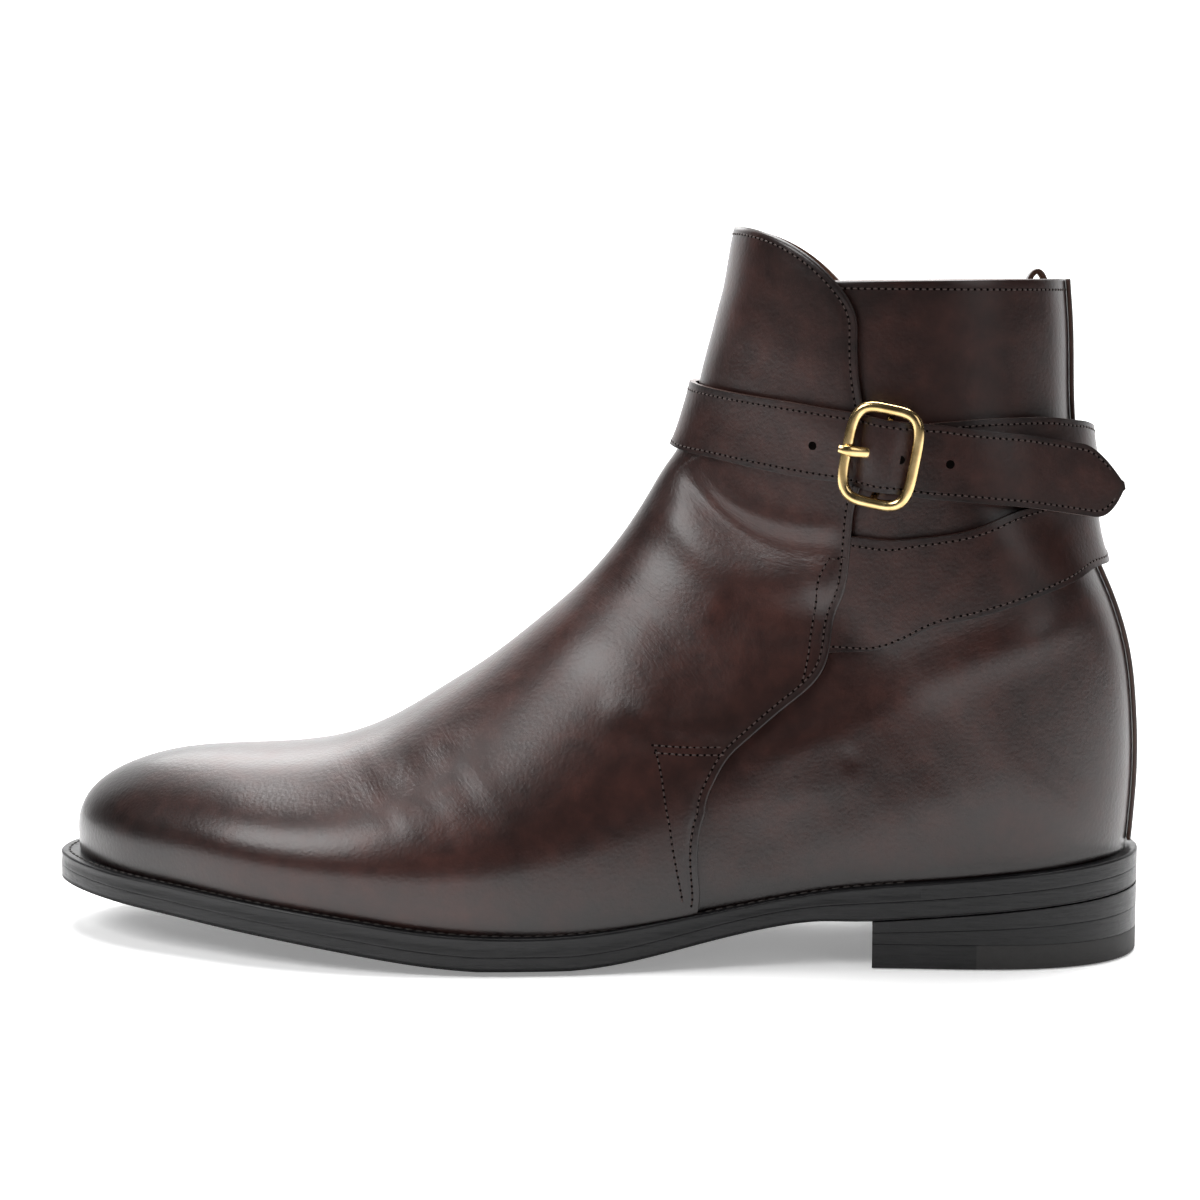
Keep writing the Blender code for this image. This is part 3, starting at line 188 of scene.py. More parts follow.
sections = footRows + shaftRows
collarRow, heelRow = len(sections) - 2, len(footRows) - 1
rowKnots = np.arange(len(sections), dtype=float)
denseWays = np.linspace(0, wayEnd, 400)
footPlaces = last["heelRear"] - featherAt(denseWays)[:, 0]
seatZ = float(weltZ(featherAt(wayEnd)[0])) + last["gap"]
seamRise, seamAt = columns(seamRows, (last["collarHeight"], last["soleLength"]))
seamX = cubic(seamRise, last["heelRear"] - seamAt)
baseWays = [float(np.interp(-(footPlaces[-1] + row[0] * (footPlaces[0] - footPlaces[-1])),
                            -footPlaces, denseWays)) for row in footRows]
baseWays += [wayEnd + row[0] * last["collarHeight"] - seatZ for row in shaftRows]
(_, ridgeAt, crestAt, swellLateral, swellMedial, bellyAt, cheekAt, crownAt) = columns(
    sections, (1, last["soleLength"], last["collarHeight"], last["ballWidth"],
               last["ballWidth"], 1, 1, 1))
baseLine = cubic(rowKnots, baseWays)
ridgeX = cubic(rowKnots, last["heelRear"] - ridgeAt)
ridgeZ = cubic(rowKnots, crestAt)
swellLine = {-1: cubic(rowKnots, swellLateral), 1: cubic(rowKnots, swellMedial)}
bellyLine, cheekLine, crownLine = (cubic(rowKnots, bellyAt), cubic(rowKnots, cheekAt),
                                   cubic(rowKnots, crownAt))
wideWay = float(np.interp(-0.165 * last["soleLength"], -footPlaces, denseWays))
bellyTurn = 0.56


def halfSkin(row, turn, side):  # turn is 0 on the ridge and 1 at the base
    way = baseLine(row)
    plan = featherAt(side * -np.minimum(way, wayEnd))
    onFoot = way <= wayEnd
    baseZ = np.where(onFoot, weltZ(plan[..., 0]) + last["gap"],
                     seatZ + np.maximum(way - wayEnd, 0.0))
    seam = seamX(baseZ) - seamX(seatZ) + featherAt(wayEnd)[0]
    baseX = np.where(onFoot, plan[..., 0], seam)
    baseY = np.where(onFoot, plan[..., 1], 0.0)
    wide = np.abs(featherAt(side * -np.minimum(way, wideWay))[..., 1])
    topX, topZ = ridgeX(row), ridgeZ(row)
    toe = ease(1 - way / (0.5 * wayEnd))
    axisX = baseX + toe * (topX - baseX)
    outX = baseX - axisX
    baseR = np.hypot(outX, baseY)
    fall = np.maximum(baseR, 1e-6)
    dirX = np.where(baseR > 1e-5, outX / fall, 0.0)
    dirY = np.where(baseR > 1e-5, baseY / fall, side)
    square = ease((way - 0.6 * wayEnd) / (0.3 * wayEnd))
    dirX, dirY = dirX * (1 - square), dirY * (1 - square) + side * square
    baseR = np.where(square > 0, np.abs(baseY) * square + baseR * (1 - square), baseR)
    past = ease((way - wideWay) / 0.024 + 0.5)
    half = wide * past + baseR * (1 - past) + swellLine[side](row)
    half = np.maximum(half, baseR * 1.004)
    belly, crown = bellyLine(row), crownLine(row)
    start = np.arcsin(np.clip(baseR / half, 0.0, 1.0))
    angle = start + (np.pi / 2 - start) * np.clip((1 - turn) / (1 - bellyTurn), 0.0, 1.0)
    shareLow = belly * (1 - np.cos(angle) / np.maximum(np.cos(start), 1e-9))
    t = np.clip(1 - turn / bellyTurn, 0.0, 1.0)
    a, b, c, d = (1 - t) ** 3, 3 * t * (1 - t) ** 2, 3 * t * t * (1 - t), t ** 3
    upper = turn < bellyTurn
    shareUp = a * belly + b * (belly + cheekLine(row) * (1 - belly)) + c + d
    share = np.where(upper, shareUp, shareLow)
    reach = np.where(upper, half * (a + b + c * crown), half * np.sin(angle))
    slope = (ridgeZ(row + 0.01) - ridgeZ(row - 0.01)) / (ridgeX(row + 0.01) - ridgeX(row - 0.01))
    lean = np.where(upper, c * crown * half * dirX * slope * toe, 0.0)
    return np.stack([axisX + share * (topX - axisX) + reach * dirX, reach * dirY,
                     baseZ + share * (topZ - baseZ) + lean], -1)


def skin(row, turn):  # outer face of the upper, -1 lateral over the ridge to 1 medial
    row, turn = np.broadcast_arrays(np.asarray(row, float), np.asarray(turn, float))
    near = ease((row - 10.5) / 3.5) * ease((22.5 - row) / 3.5)
    reach = 1.6 * near * (1 - np.abs(turn) ** 8)
    total = 0.0
    for shift, weight in ((-1.0, 0.0625), (-0.5, 0.25), (0.0, 0.375), (0.5, 0.25), (1.0, 0.0625)):
        atRow = row + shift * reach
        total = total + weight * np.where((turn < 0)[..., None],
                                          halfSkin(atRow, np.abs(turn), -1),
                                          halfSkin(atRow, np.abs(turn), 1))
    return total


def rawNormal(row, turn):
    h = 0.02
    closed = baseLine(row) > wayEnd - 1e-6

    def wrap(value):
        return np.where(closed, np.mod(value + 1, 2) - 1, np.clip(value, -1, 1))

    return unit(np.cross(skin(row + h, turn) - skin(row - h, turn),
                         skin(row, wrap(turn + h)) - skin(row, wrap(turn - h))))


def skinNormal(row, turn):
    row, turn = np.broadcast_arrays(np.asarray(row, float), np.asarray(turn, float))
    inner = np.maximum(row, 0.03)
    normal = rawNormal(inner, turn)
    middle = unit((normal + rawNormal(inner, -turn)) * np.array([1.0, 0.0, 1.0]))
    return np.where((row < 0.03)[..., None], middle, normal)


def shell(row, turn, lift):  # a height above the skin; foot points stay level on the welt
    row, turn, lift = np.broadcast_arrays(np.asarray(row, float), turn, lift)
    normal = skinNormal(row, turn)
    foot = ((np.abs(turn) > 0.999) & (baseLine(row) <= wayEnd + 1e-6)) | (
        np.abs(row - collarRow) < 1e-6)
    level = unit(normal * np.array([1.0, 1.0, 0.0]))
    point = skin(row, turn) + np.where(foot[..., None], level, normal) * lift[..., None]
    point[..., 2] = np.where(foot & (row < collarRow - 1),
                             weltZ(point[..., 0]) + last["gap"], point[..., 2])
    return point


def leather(row, turn, lift):  # as the shell, but its foot turns down onto the welt
    row, turn, lift = np.broadcast_arrays(np.asarray(row, float), turn, lift)
    onFoot = baseLine(row) <= wayEnd + 1e-6
    near = np.where(onFoot, ease((1 - np.abs(turn)) / 0.08), 1.0)
    near = np.where(np.abs(row - collarRow) < 1e-6, 0.0, near)
    normal = skinNormal(row, turn)
    down = np.where((normal[..., 2] < 0) | (near == 0), near, 1.0)
    normal = unit(normal * np.stack([1 + 0 * down, 1 + 0 * down, down], -1))
    point = skin(row, turn) + normal * lift[..., None]
    welt = weltZ(point[..., 0]) - 0.3 * mm
    foot = onFoot & (np.abs(turn) > 0.999)
    held = np.where(onFoot, np.maximum(point[..., 2], welt), point[..., 2])
    point[..., 2] = np.where(foot, welt, held)
    return point


def rowAt(turn, height):  # row where the skin reaches a height
    low, high = 8.0, rowKnots[-1] + 0.5
    for _ in range(34):
        middle = 0.5 * (low + high)
        low, high = (middle, high) if skin(middle, turn)[2] < height else (low, middle)
    return 0.5 * (low + high)


# Creases, listed in millimetres along the shoe and up: a soft trough is below 0, a ridge above
creases = [
    dict(line=[(-92, 136), (-88, 129), (-81, 122), (-73, 117), (-64, 114), (-54, 113), (-44, 114)],
         height=-0.75, width=2.4),
    dict(line=[(-98, 127), (-91, 117), (-80, 108), (-68, 104), (-56, 103), (-44, 108)],
         height=1.05, width=4.6),
    dict(line=[(-84, 133), (-79, 126), (-69, 121), (-57, 119), (-45, 119)], height=0.35, width=1.6),
    dict(line=[(-82, 97), (-72, 93), (-60, 92), (-48, 95)], height=-0.55, width=5.0),
    dict(line=[(-118, 106), (-104, 98), (-96, 92), (-88, 84), (-76, 72)], height=-0.4, width=3.4),
    dict(line=[(-128, 92), (-112, 85), (-101, 77), (-92, 69)], height=0.5, width=4.5),
    dict(line=[(-112, 71), (-90, 66), (-74, 64)], height=0.45, width=2.6),
    dict(line=[(-109, 64), (-87, 60), (-74, 59)], height=-0.45, width=2.4),
    dict(line=[(-186, 55), (-177, 50), (-169, 43), (-163, 35)], height=-0.13, width=1.3),
    dict(line=[(-181, 57), (-172, 51), (-164, 43), (-158, 35)], height=0.09, width=1.4),
    dict(line=[(-171, 60), (-162, 52), (-154, 43), (-148, 34)], height=-0.13, width=1.4),
    dict(line=[(-159, 62), (-149, 51), (-141, 42), (-134, 33)], height=-0.14, width=1.5),
    dict(line=[(-153, 63), (-144, 52), (-136, 43), (-129, 34)], height=0.11, width=1.6),
    dict(line=[(-75, 52), (-57, 62), (-39, 71), (-23, 80), (-4, 88), (21, 97)],
         height=1.0, width=4.2),
    dict(line=[(-68, 62), (-50, 72), (-31, 81), (-5, 93), (20, 101)], height=-0.8, width=3.4),
    dict(line=[(-79, 32), (-60, 38), (-38, 49), (-15, 58)], height=-0.4, width=6.0),
    dict(line=[(-46, 56), (-44, 56.5), (-42, 57)], height=-0.5, width=1.3),
    dict(line=[(-8, 95), (6, 98), (20, 103)], height=0.3, width=1.2),
]
# Fields of fine wrinkles that run along a line, with their reach to either side
wrinkleFields = [
    dict(line=[(-93, 138), (-88, 129), (-81, 121), (-73, 116), (-64, 113), (-54, 112), (-43, 113)],
         reach=5.0, strength=1.0),
    dict(line=[(-120, 104), (-106, 97), (-97, 91), (-88, 82), (-74, 70)], reach=8.5, strength=0.75),
    dict(line=[(-190, 56), (-178, 50), (-170, 43), (-163, 35)], reach=5.0, strength=0.5),
    dict(line=[(-163, 62), (-150, 50), (-142, 42), (-135, 33)], reach=6.5, strength=0.55),
    dict(line=[(-60, 66), (-31, 80), (-5, 92), (22, 100)], reach=4.0, strength=0.55),
    dict(line=[(-104, 120), (-97, 130), (-92, 143)], reach=6.0, strength=0.45),
]


def beside(x, z, line):  # distance to a line in side view, signed, and the place along it
    knots = np.arange(len(line), dtype=float)
    t = np.linspace(0, knots[-1], 8 * len(line))
    path = np.stack([cubic(knots, [p[0] for p in line])(t), cubic(knots, [p[1] for p in line])(t)], -1)
    path *= mm
    along = np.r_[0.0, np.cumsum(np.linalg.norm(np.diff(path, axis=0), axis=-1))]
    best = np.full(x.shape, 9.0)
    away, place = np.zeros(x.shape), np.zeros(x.shape)
    for a, b, start in zip(path[:-1], path[1:], along):
        run = b - a
        length = np.hypot(*run)
        run = run / length
        s = (x - a[0]) * run[0] + (z - a[1]) * run[1]
        off = (z - a[1]) * run[0] - (x - a[0]) * run[1]
        held = np.clip(s, 0, length)
        gap = np.hypot(off, s - held)
        nearer = gap < best
        best = np.where(nearer, gap, best)
        away = np.where(nearer, np.copysign(gap, off), away)
        place = np.where(nearer, start + held, place)
    return away, place, along[-1]


def lineGap(point, path):  # distance of points to a line in space
    best = np.full(point.shape[:-1], 9.0)
    for a, b in zip(path[:-1], path[1:]):
        run = b - a
        s = np.clip(((point - a) @ run) / max(run @ run, 1e-12), 0, 1)
        best = np.minimum(best, np.linalg.norm(point - a - s[..., None] * run, axis=-1))
    return best


def onLeather(spots, grid, normal, over):  # drops spots onto a finished grid of leather
    flat, out = grid.reshape(-1, 3), normal.reshape(-1, 3)
    near = np.array([int(np.argmin(((flat - spot) ** 2).sum(-1))) for spot in spots])
    base, up = flat[near], out[near]
    return spots - up * (((spots - base) * up).sum(-1) - over)[:, None], up


def insetRow(path, normal, distance):  # line beside an edge, on its left going round
    run = unit(np.gradient(path, axis=0))
    return path + unit(np.cross(normal, run)) * distance


def creaseHeight(point, medialShare=0.6):
    x, z = point[..., 0], point[..., 2]
    total = np.zeros(x.shape)
    for crease in creases:
        away, place, whole = beside(x, z, crease["line"])
        fade = np.minimum(place, whole - place) / (0.22 * whole)
        total += crease["height"] * mm * np.exp(-0.5 * (away / (crease["width"] * mm)) ** 2) * ease(
            0.15 + fade)
    return total * np.where(point[..., 1] < 0, 1.0, medialShare)


def wrinkleMarks(point):  # mask of the wrinkles, and the place along and beside their line
    x, z = point[..., 0], point[..., 2]
    mask, alongBest, awayBest = np.zeros(x.shape), np.zeros(x.shape), np.zeros(x.shape)
    for field in wrinkleFields:
        away, place, whole = beside(x, z, field["line"])
        fade = np.minimum(place, whole - place) / (0.25 * whole)
        here = field["strength"] * np.exp(-0.5 * (away / (field["reach"] * mm)) ** 2) * ease(
            0.1 + fade)
        stronger = here > mask
        mask = np.where(stronger, here, mask)
        alongBest, awayBest = np.where(stronger, place, alongBest), np.where(stronger, away, awayBest)
    return dict(flex=mask, foldAlong=alongBest, foldAway=awayBest)


def placeGrid(work, point, marks=None):  # moves the vertices of a fresh grid to their points
    rows, cols = point.shape[:2]
    marks = marks or {}
    layers = {name: work.verts.layers.float.new(name) for name in marks}
    for vert in work.verts:
        i = int(round((vert.co.y + 1) / 2 * (rows - 1)))
        j = int(round((vert.co.x + 1) / 2 * (cols - 1)))
        vert.co = point[i, j]
        for name, layer in layers.items():
            vert[layer] = float(marks[name][i, j])


def piece(name, point, paints, marks=None, wall=None, roll=None, capped=False, heart=None,
          inner=0, rim=0):  # one object from a grid of points
    rows, cols = point.shape[:2]
    work = bmesh.new()
    bmesh.ops.create_grid(work, x_segments=cols - 1, y_segments=rows - 1, size=1)
    placeGrid(work, point, marks)
    bmesh.ops.remove_doubles(work, verts=work.verts, dist=2e-6)
    bmesh.ops.dissolve_degenerate(work, dist=1e-7, edges=work.edges)
    if capped:
        bmesh.ops.holes_fill(work, edges=[e for e in work.edges if e.is_boundary], sides=0)
    bmesh.ops.recalc_face_normals(work, faces=work.faces)
    if heart is not None:  # an open sheet faces away from the heart of the shoe
        facing = sum(f.normal.dot(f.calc_center_median() - Vector(heart)) * f.calc_area()
                     for f in work.faces)
        if facing < 0:
            bmesh.ops.reverse_faces(work, faces=work.faces)
    mesh = bpy.data.meshes.new(name)
    work.to_mesh(mesh)
    work.free()
    mesh.polygons.foreach_set("use_smooth", [True] * len(mesh.polygons))
    made = bpy.data.objects.new(name, mesh)
    bpy.context.scene.collection.objects.link(made)
    for paint in paints:
        mesh.materials.append(paint)
    if wall:
        thick = made.modifiers.new("wall", "SOLIDIFY")
        thick.thickness, thick.offset, thick.use_even_offset = wall, -1, False
        thick.material_offset, thick.material_offset_rim = inner, rim
    if roll:
        rolled = made.modifiers.new("rolled edge", "BEVEL")
        rolled.width, rolled.segments, rolled.limit_method = roll, 3, "ANGLE"
        rolled.angle_limit, rolled.harden_normals = np.radians(55), False
    mesh.set_sharp_from_angle(angle=np.radians(62))
    return made


def keep(made, slotName, *nodes):
    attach(made, "root")
    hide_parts(*nodes)
    return made


# Shader maths
class Wire:
    def __init__(self, bench, socket):
        self.bench, self.socket = bench, socket

    def maths(self, operation, a, b):
        return self.bench.node("ShaderNodeMath", {"operation": operation}, {0: a, 1: b})

    def __add__(self, other):
        return self.maths("ADD", self, other)

    def __radd__(self, other):
        return self.maths("ADD", other, self)

    def __sub__(self, other):
        return self.maths("SUBTRACT", self, other)

    def __rsub__(self, other):
        return self.maths("SUBTRACT", other, self)

    def __mul__(self, other):
        return self.maths("MULTIPLY", self, other)

    def __rmul__(self, other):
        return self.maths("MULTIPLY", other, self)

    def held(self):  # kept from 0 to 1
        return self.bench.node("ShaderNodeClamp", {}, {"Value": self})


class Bench:  # one material and the nodes laid out on it
    def __init__(self, name, roughness, metal=0.0, coat=0.0, coatRoughness=0.2):
        self.paint = bpy.data.materials.new(name)
        self.paint.use_nodes = True
        self.tree = self.paint.node_tree
        self.shader = self.tree.nodes["Principled BSDF"]
        self.shader.inputs["Roughness"].default_value = roughness
        self.shader.inputs["Metallic"].default_value = metal
        self.shader.inputs["Coat Weight"].default_value = coat
        self.shader.inputs["Coat Roughness"].default_value = coatRoughness

    def node(self, kind, settings, sockets, output=0):
        made = self.tree.nodes.new(kind)
        for key, value in settings.items():
            setattr(made, key, value)
        for key, value in sockets.items():
            if isinstance(value, Wire):
                self.tree.links.new(value.socket, made.inputs[key])
            else:
                made.inputs[key].default_value = value
        return Wire(self, made.outputs[output])

    def place(self, scale=(1, 1, 1), turn=(0, 0, 0)):
        where = self.node("ShaderNodeTexCoord", {}, {}, "Object")
        return self.node("ShaderNodeMapping", {}, {"Vector": where, "Scale": scale, "Rotation": turn})

    def noise(self, vector, scale, detail=3.0, rough=0.55):
        return self.node("ShaderNodeTexNoise", {}, {"Vector": vector, "Scale": scale,
                                                    "Detail": detail, "Roughness": rough})

    def mark(self, name):
        return self.node("ShaderNodeAttribute", {"attribute_name": name}, {}, "Fac")

    def mix(self, factor, a, b):
        return self.node("ShaderNodeMix", {"data_type": "RGBA"},
                         {0: factor, 6: (*a, 1) if isinstance(a, tuple) else a,
                          7: (*b, 1) if isinstance(b, tuple) else b}, 2)

    def feed(self, socket, wire):
        self.tree.links.new(wire.socket, self.shader.inputs[socket])

    def bump(self, height, distance, strength=1.0):
        self.feed("Normal", self.node("ShaderNodeBump", {}, {
            "Height": height, "Distance": distance, "Strength": strength}))


calf = dict(dark=(0.006, 0.0022, 0.0018), middle=(0.029, 0.0094, 0.0074), red=(0.058, 0.0165, 0.0112),
            roughness=0.36, specular=0.36, grain=900.0, grainDepth=0.00007, wrinkleDepth=0.00030)


def calfLeather(name, lift=1.0, shine=0.35):
    bench = Bench(name, calf["roughness"], coat=shine, coatRoughness=0.26)
    bench.shader.inputs["Specular IOR Level"].default_value = calf["specular"]
    where = bench.place()
    cloud = bench.noise(where, 26.0, 3.0)
    mottle = bench.noise(where, 170.0, 4.0)
    pores = bench.node("ShaderNodeTexVoronoi", {"feature": "SMOOTH_F1"},
                       {"Vector": where, "Scale": calf["grain"], "Smoothness": 0.7}, "Distance")
    fine = bench.noise(where, calf["grain"] * 1.9, 3.0)
    burnish, flex = bench.mark("burnish"), bench.mark("flex")
    tone = (cloud * 1.1 + mottle * 0.45 - 0.28 - burnish * 0.95 + flex * 0.18).held()
    red = bench.mix((mottle * 1.6 - 0.55).held(),
                    tuple(c * lift for c in calf["middle"]), tuple(c * lift for c in calf["red"]))
    bench.feed("Base Color", bench.mix(tone, calf["dark"], red))
    bench.feed("Roughness", 0.27 + mottle * 0.10 + flex * 0.07 + cloud * 0.06)
    # fine wrinkles are drawn out along their fold line
    along, away = bench.mark("foldAlong"), bench.mark("foldAway")
    drawn = bench.node("ShaderNodeCombineXYZ", {}, {"X": along * 230.0, "Y": away * 950.0})
    crinkle = bench.noise(drawn, 1.0, 3.0, 0.6)
    cross = bench.noise(drawn, 2.3, 2.0, 0.5)
    wrinkle = (crinkle * 0.75 + cross * 0.25) * flex
    height = (pores * 0.6 + fine * 0.5) * (calf["grainDepth"] * 1e3) + wrinkle * (
        calf["wrinkleDepth"] * 1e3)
    bench.bump(height, 0.001)
    return bench.paint


def plainLeather(name, dark, light, roughness, grain=700.0, depth=0.06):
    bench = Bench(name, roughness)
    where = bench.place()
    mottle = bench.noise(where, 120.0, 4.0)
    bench.feed("Base Color", bench.mix((mottle * 1.8 - 0.4).held(), dark, light))
    bench.feed("Roughness", roughness - 0.06 + mottle * 0.12)
    bench.bump(bench.noise(where, grain, 3.0) * depth, 0.001)
    return bench.paint


def waxedEdge(name, dark, light, roughness):
    bench = Bench(name, roughness, coat=0.1, coatRoughness=0.35)
    bench.shader.inputs["Specular IOR Level"].default_value = 0.26
    where = bench.place((1, 1, 9))  # drawn out along the sole, as the layers and the wax are
    streak = bench.noise(where, 95.0, 5.0, 0.6)
    speck = bench.noise(bench.place(), 520.0, 3.0)
    bench.feed("Base Color", bench.mix((streak * 2.2 - 0.75).held(), dark, light))
    bench.feed("Roughness", roughness - 0.1 + speck * 0.2)
    bench.bump(streak * 0.16 + speck * 0.05, 0.001)
    return bench.paint


def rubber(name):
    bench = Bench(name, 0.62)
    speck = bench.noise(bench.place(), 900.0, 3.0)
    bench.feed("Base Color", bench.mix(speck, (0.0035, 0.003, 0.0028), (0.010, 0.0085, 0.008)))
    bench.bump(speck * 0.05, 0.001)
    return bench.paint


def brass(name):
    bench = Bench(name, 0.17, metal=1.0)
    where = bench.place()
    worn = bench.noise(where, 340.0, 4.0)
    bench.feed("Base Color", bench.mix((worn * 1.6 - 0.3).held(), (0.50, 0.33, 0.13),
                                       (0.80, 0.60, 0.30)))
    bench.feed("Roughness", 0.13 + worn * 0.14)
    bench.bump(bench.noise(where, 700.0, 2.0) * 0.008, 0.001)
    return bench.paint


def thread(name, dark, light):
    bench = Bench(name, 0.62)
    twist = bench.noise(bench.place(), 2600.0, 2.0)
    bench.feed("Base Color", bench.mix(twist, dark, light))
    bench.bump(twist * 0.1, 0.001)
    return bench.paint


vampCalf = calfLeather("burnished calf, vamp", 1.12, 0.27)
quarterCalf = calfLeather("burnished calf, quarters", 0.95, 0.24)
strapCalf = calfLeather("burnished calf, straps", 1.0, 0.16)
lining = plainLeather("tan lining", (0.22, 0.115, 0.058), (0.36, 0.205, 0.115), 0.6)
# painted shade: a darker copy of the tan lining, for the vamp's underside that lies in shade along the
# flap
flapLiningShade = plainLeather("flap lining, painted shade", (0.10, 0.045, 0.026), (0.17, 0.085, 0.052), 0.6)
cutEdge = plainLeather("waxed cut edge", (0.030, 0.012, 0.009), (0.075, 0.035, 0.024), 0.42,
                       grain=1400.0, depth=0.04)
soleEdge = waxedEdge("dark waxed sole edge", (0.0018, 0.0018, 0.0022), (0.0085, 0.0082, 0.0092), 0.4)
heelRubber = rubber("heel rubber")
paleGold = brass("pale gold")
brownThread = thread("dark brown thread", (0.022, 0.011, 0.009), (0.050, 0.027, 0.022))
# painted shade: near-black leather with almost no reflection, laid where holes show dark inside
holeShade = plainLeather("painted hole shade", (0.001, 0.0007, 0.0006), (0.003, 0.002, 0.0016), 0.9)
holeShade.node_tree.nodes["Principled BSDF"].inputs["Specular IOR Level"].default_value = 0.02
weltThread = thread("welt thread", (0.010, 0.008, 0.007), (0.030, 0.024, 0.020))
print("materials ready")


# Quarters: the whole back of the boot, lined in tan
quarterSizes = dict(wall=0.002, roll=0.0006, fineRows=128, turns=160, burnishReach=0.007)
quarterRows = np.r_[0, 0.4, 0.8, 1.2, 1.7, 2.3, 3.0, np.linspace(3.8, 10.6, 14),
                    np.linspace(11.0, collarRow, quarterSizes["fineRows"])]
quarterTurns = np.linspace(-1, 1, quarterSizes["turns"] + 1)
quarterGrid = leather(quarterRows[:, None], quarterTurns[None, :], 0.0)
inBack = ease((quarterRows - 11.3) / 1.2)[:, None] * ease((np.abs(quarterTurns) - 0.40) / 0.08)[None, :]
footFree = ease((quarterGrid[..., 2] - weltZ(quarterGrid[..., 0]) - 2 * mm) / (8 * mm))
backFree = ease((1 - np.abs(quarterTurns)) / 0.10)[None, :]
quarterLift = creaseHeight(quarterGrid) * inBack * footFree * backFree
quarterNormal = skinNormal(quarterRows[:, None], quarterTurns[None, :])
quarterGrid = quarterGrid + quarterNormal * quarterLift[..., None]
quarterMarks = wrinkleMarks(quarterGrid)
quarterMarks["flex"] = quarterMarks["flex"] * inBack
overWelt = quarterGrid[..., 2] - weltZ(quarterGrid[..., 0])
underCollar = last["collarHeight"] - quarterGrid[..., 2]
quarterMarks["burnish"] = np.clip(
    0.55 * np.exp(-overWelt / quarterSizes["burnishReach"])
    + 0.30 * np.exp(-np.abs(underCollar) / quarterSizes["burnishReach"])
    + 0.45 * np.exp(-(1 - np.abs(quarterTurns)) / 0.05)[None, :], 0, 1)
quarters = piece("quarters", quarterGrid, [quarterCalf, lining, cutEdge], quarterMarks,
                 quarterSizes["wall"], quarterSizes["roll"], heart=(-0.05, 0, 0.09), inner=1, rim=2)
keep(quarters, "upper", "upper")

# Vamp with its flap up the front of the shaft
vampEdgeRows = [
    (11.45, 1.000), (11.57, 0.928), (11.70, 0.786), (11.87, 0.655), (12.07, 0.566), (12.36, 0.515),
    (12.70, 0.484), (13.10, 0.463), (13.92, 0.431), (15.10, 0.397), (16.58, 0.361), (18.67, 0.376),
    (20.21, 0.391), (20.92, 0.401), (22.20, 0.433), (23.70, 0.4555), (25.00, 0.4600), (27.00, 0.4606),
]
vampSizes = dict(lift=0.0009, wall=0.0014, depth=0.0023, roll=0.0006, topRow=27.0, fallFrom=21.0,
                 fall=2.1, burnishReach=0.006, stitchInset=0.0021, stitchDip=0.00022)
vampEdgeAt, vampEdgeTurn = columns(vampEdgeRows, (1, 1))
vampEdgeLine = cubic(vampEdgeAt, vampEdgeTurn)


def vampTurn(row):
    return np.where(row <= vampEdgeAt[0], 1.0, np.minimum(vampEdgeLine(row), 1.0))


def vampPlace(line, across):  # row and turn of a place on the vamp
    line, across = np.broadcast_arrays(np.asarray(line, float), np.asarray(across, float))
    fall = vampSizes["fall"] * (1 - np.sqrt(np.maximum(1 - np.abs(across) ** 3, 0.0)))
    ramp = ease((line - vampSizes["fallFrom"]) / (vampSizes["topRow"] - vampSizes["fallFrom"]))
    return line - fall * ramp, across * vampTurn(line)


def vampPoint(line, across, lift):
    row, turn = vampPlace(line, across)
    return leather(row, turn, lift)


vampTop = vampSizes["lift"] + vampSizes["wall"]
vampLines = np.r_[0, 0.2, 0.4, 0.6, 0.8, np.linspace(1.0, 11.45, 96), np.linspace(11.465, 12.3, 56),
                  np.linspace(12.4, 15.0, 24), np.linspace(15.15, 26.4, 64),
                  26.55, 26.7, 26.82, 26.92, vampSizes["topRow"]]
edgeSteps = np.array([0, 0.0012, 0.0035, 0.007, 0.012, 0.020, 0.030])
halfAcross = np.r_[np.linspace(0, 0.958, 66), 1 - edgeSteps[::-1]]
vampAcross = np.r_[-halfAcross[:0:-1], halfAcross]
vampGrid = vampPoint(vampLines[:, None], vampAcross[None, :], vampTop)
vampRow, vampTurnAt = vampPlace(vampLines[:, None], vampAcross[None, :])
vampNormal = skinNormal(vampRow, vampTurnAt)
edgeStart = int(np.searchsorted(vampLines, 11.5))
flapEdge = np.concatenate([vampGrid[edgeStart:, 0], vampGrid[-1, 1:-1], vampGrid[edgeStart:, -1][::-1]])
flapNormal = np.concatenate([vampNormal[edgeStart:, 0], vampNormal[-1, 1:-1],
                             vampNormal[edgeStart:, -1][::-1]])
edgeGap = np.full(vampGrid.shape[:2], 9.0)
edgeGap[edgeStart - 12:] = lineGap(vampGrid[edgeStart - 12:], flapEdge)
footFree = ease((vampGrid[..., 2] - weltZ(vampGrid[..., 0]) - 2 * mm) / (8 * mm))
freeEdge = ease((edgeGap - 1.2 * mm) / (3 * mm))
vampLift = creaseHeight(vampGrid) * footFree * freeEdge
frontFree = ease((np.abs(vampTurnAt) - 0.03) / 0.09)
vampLift = vampLift * frontFree
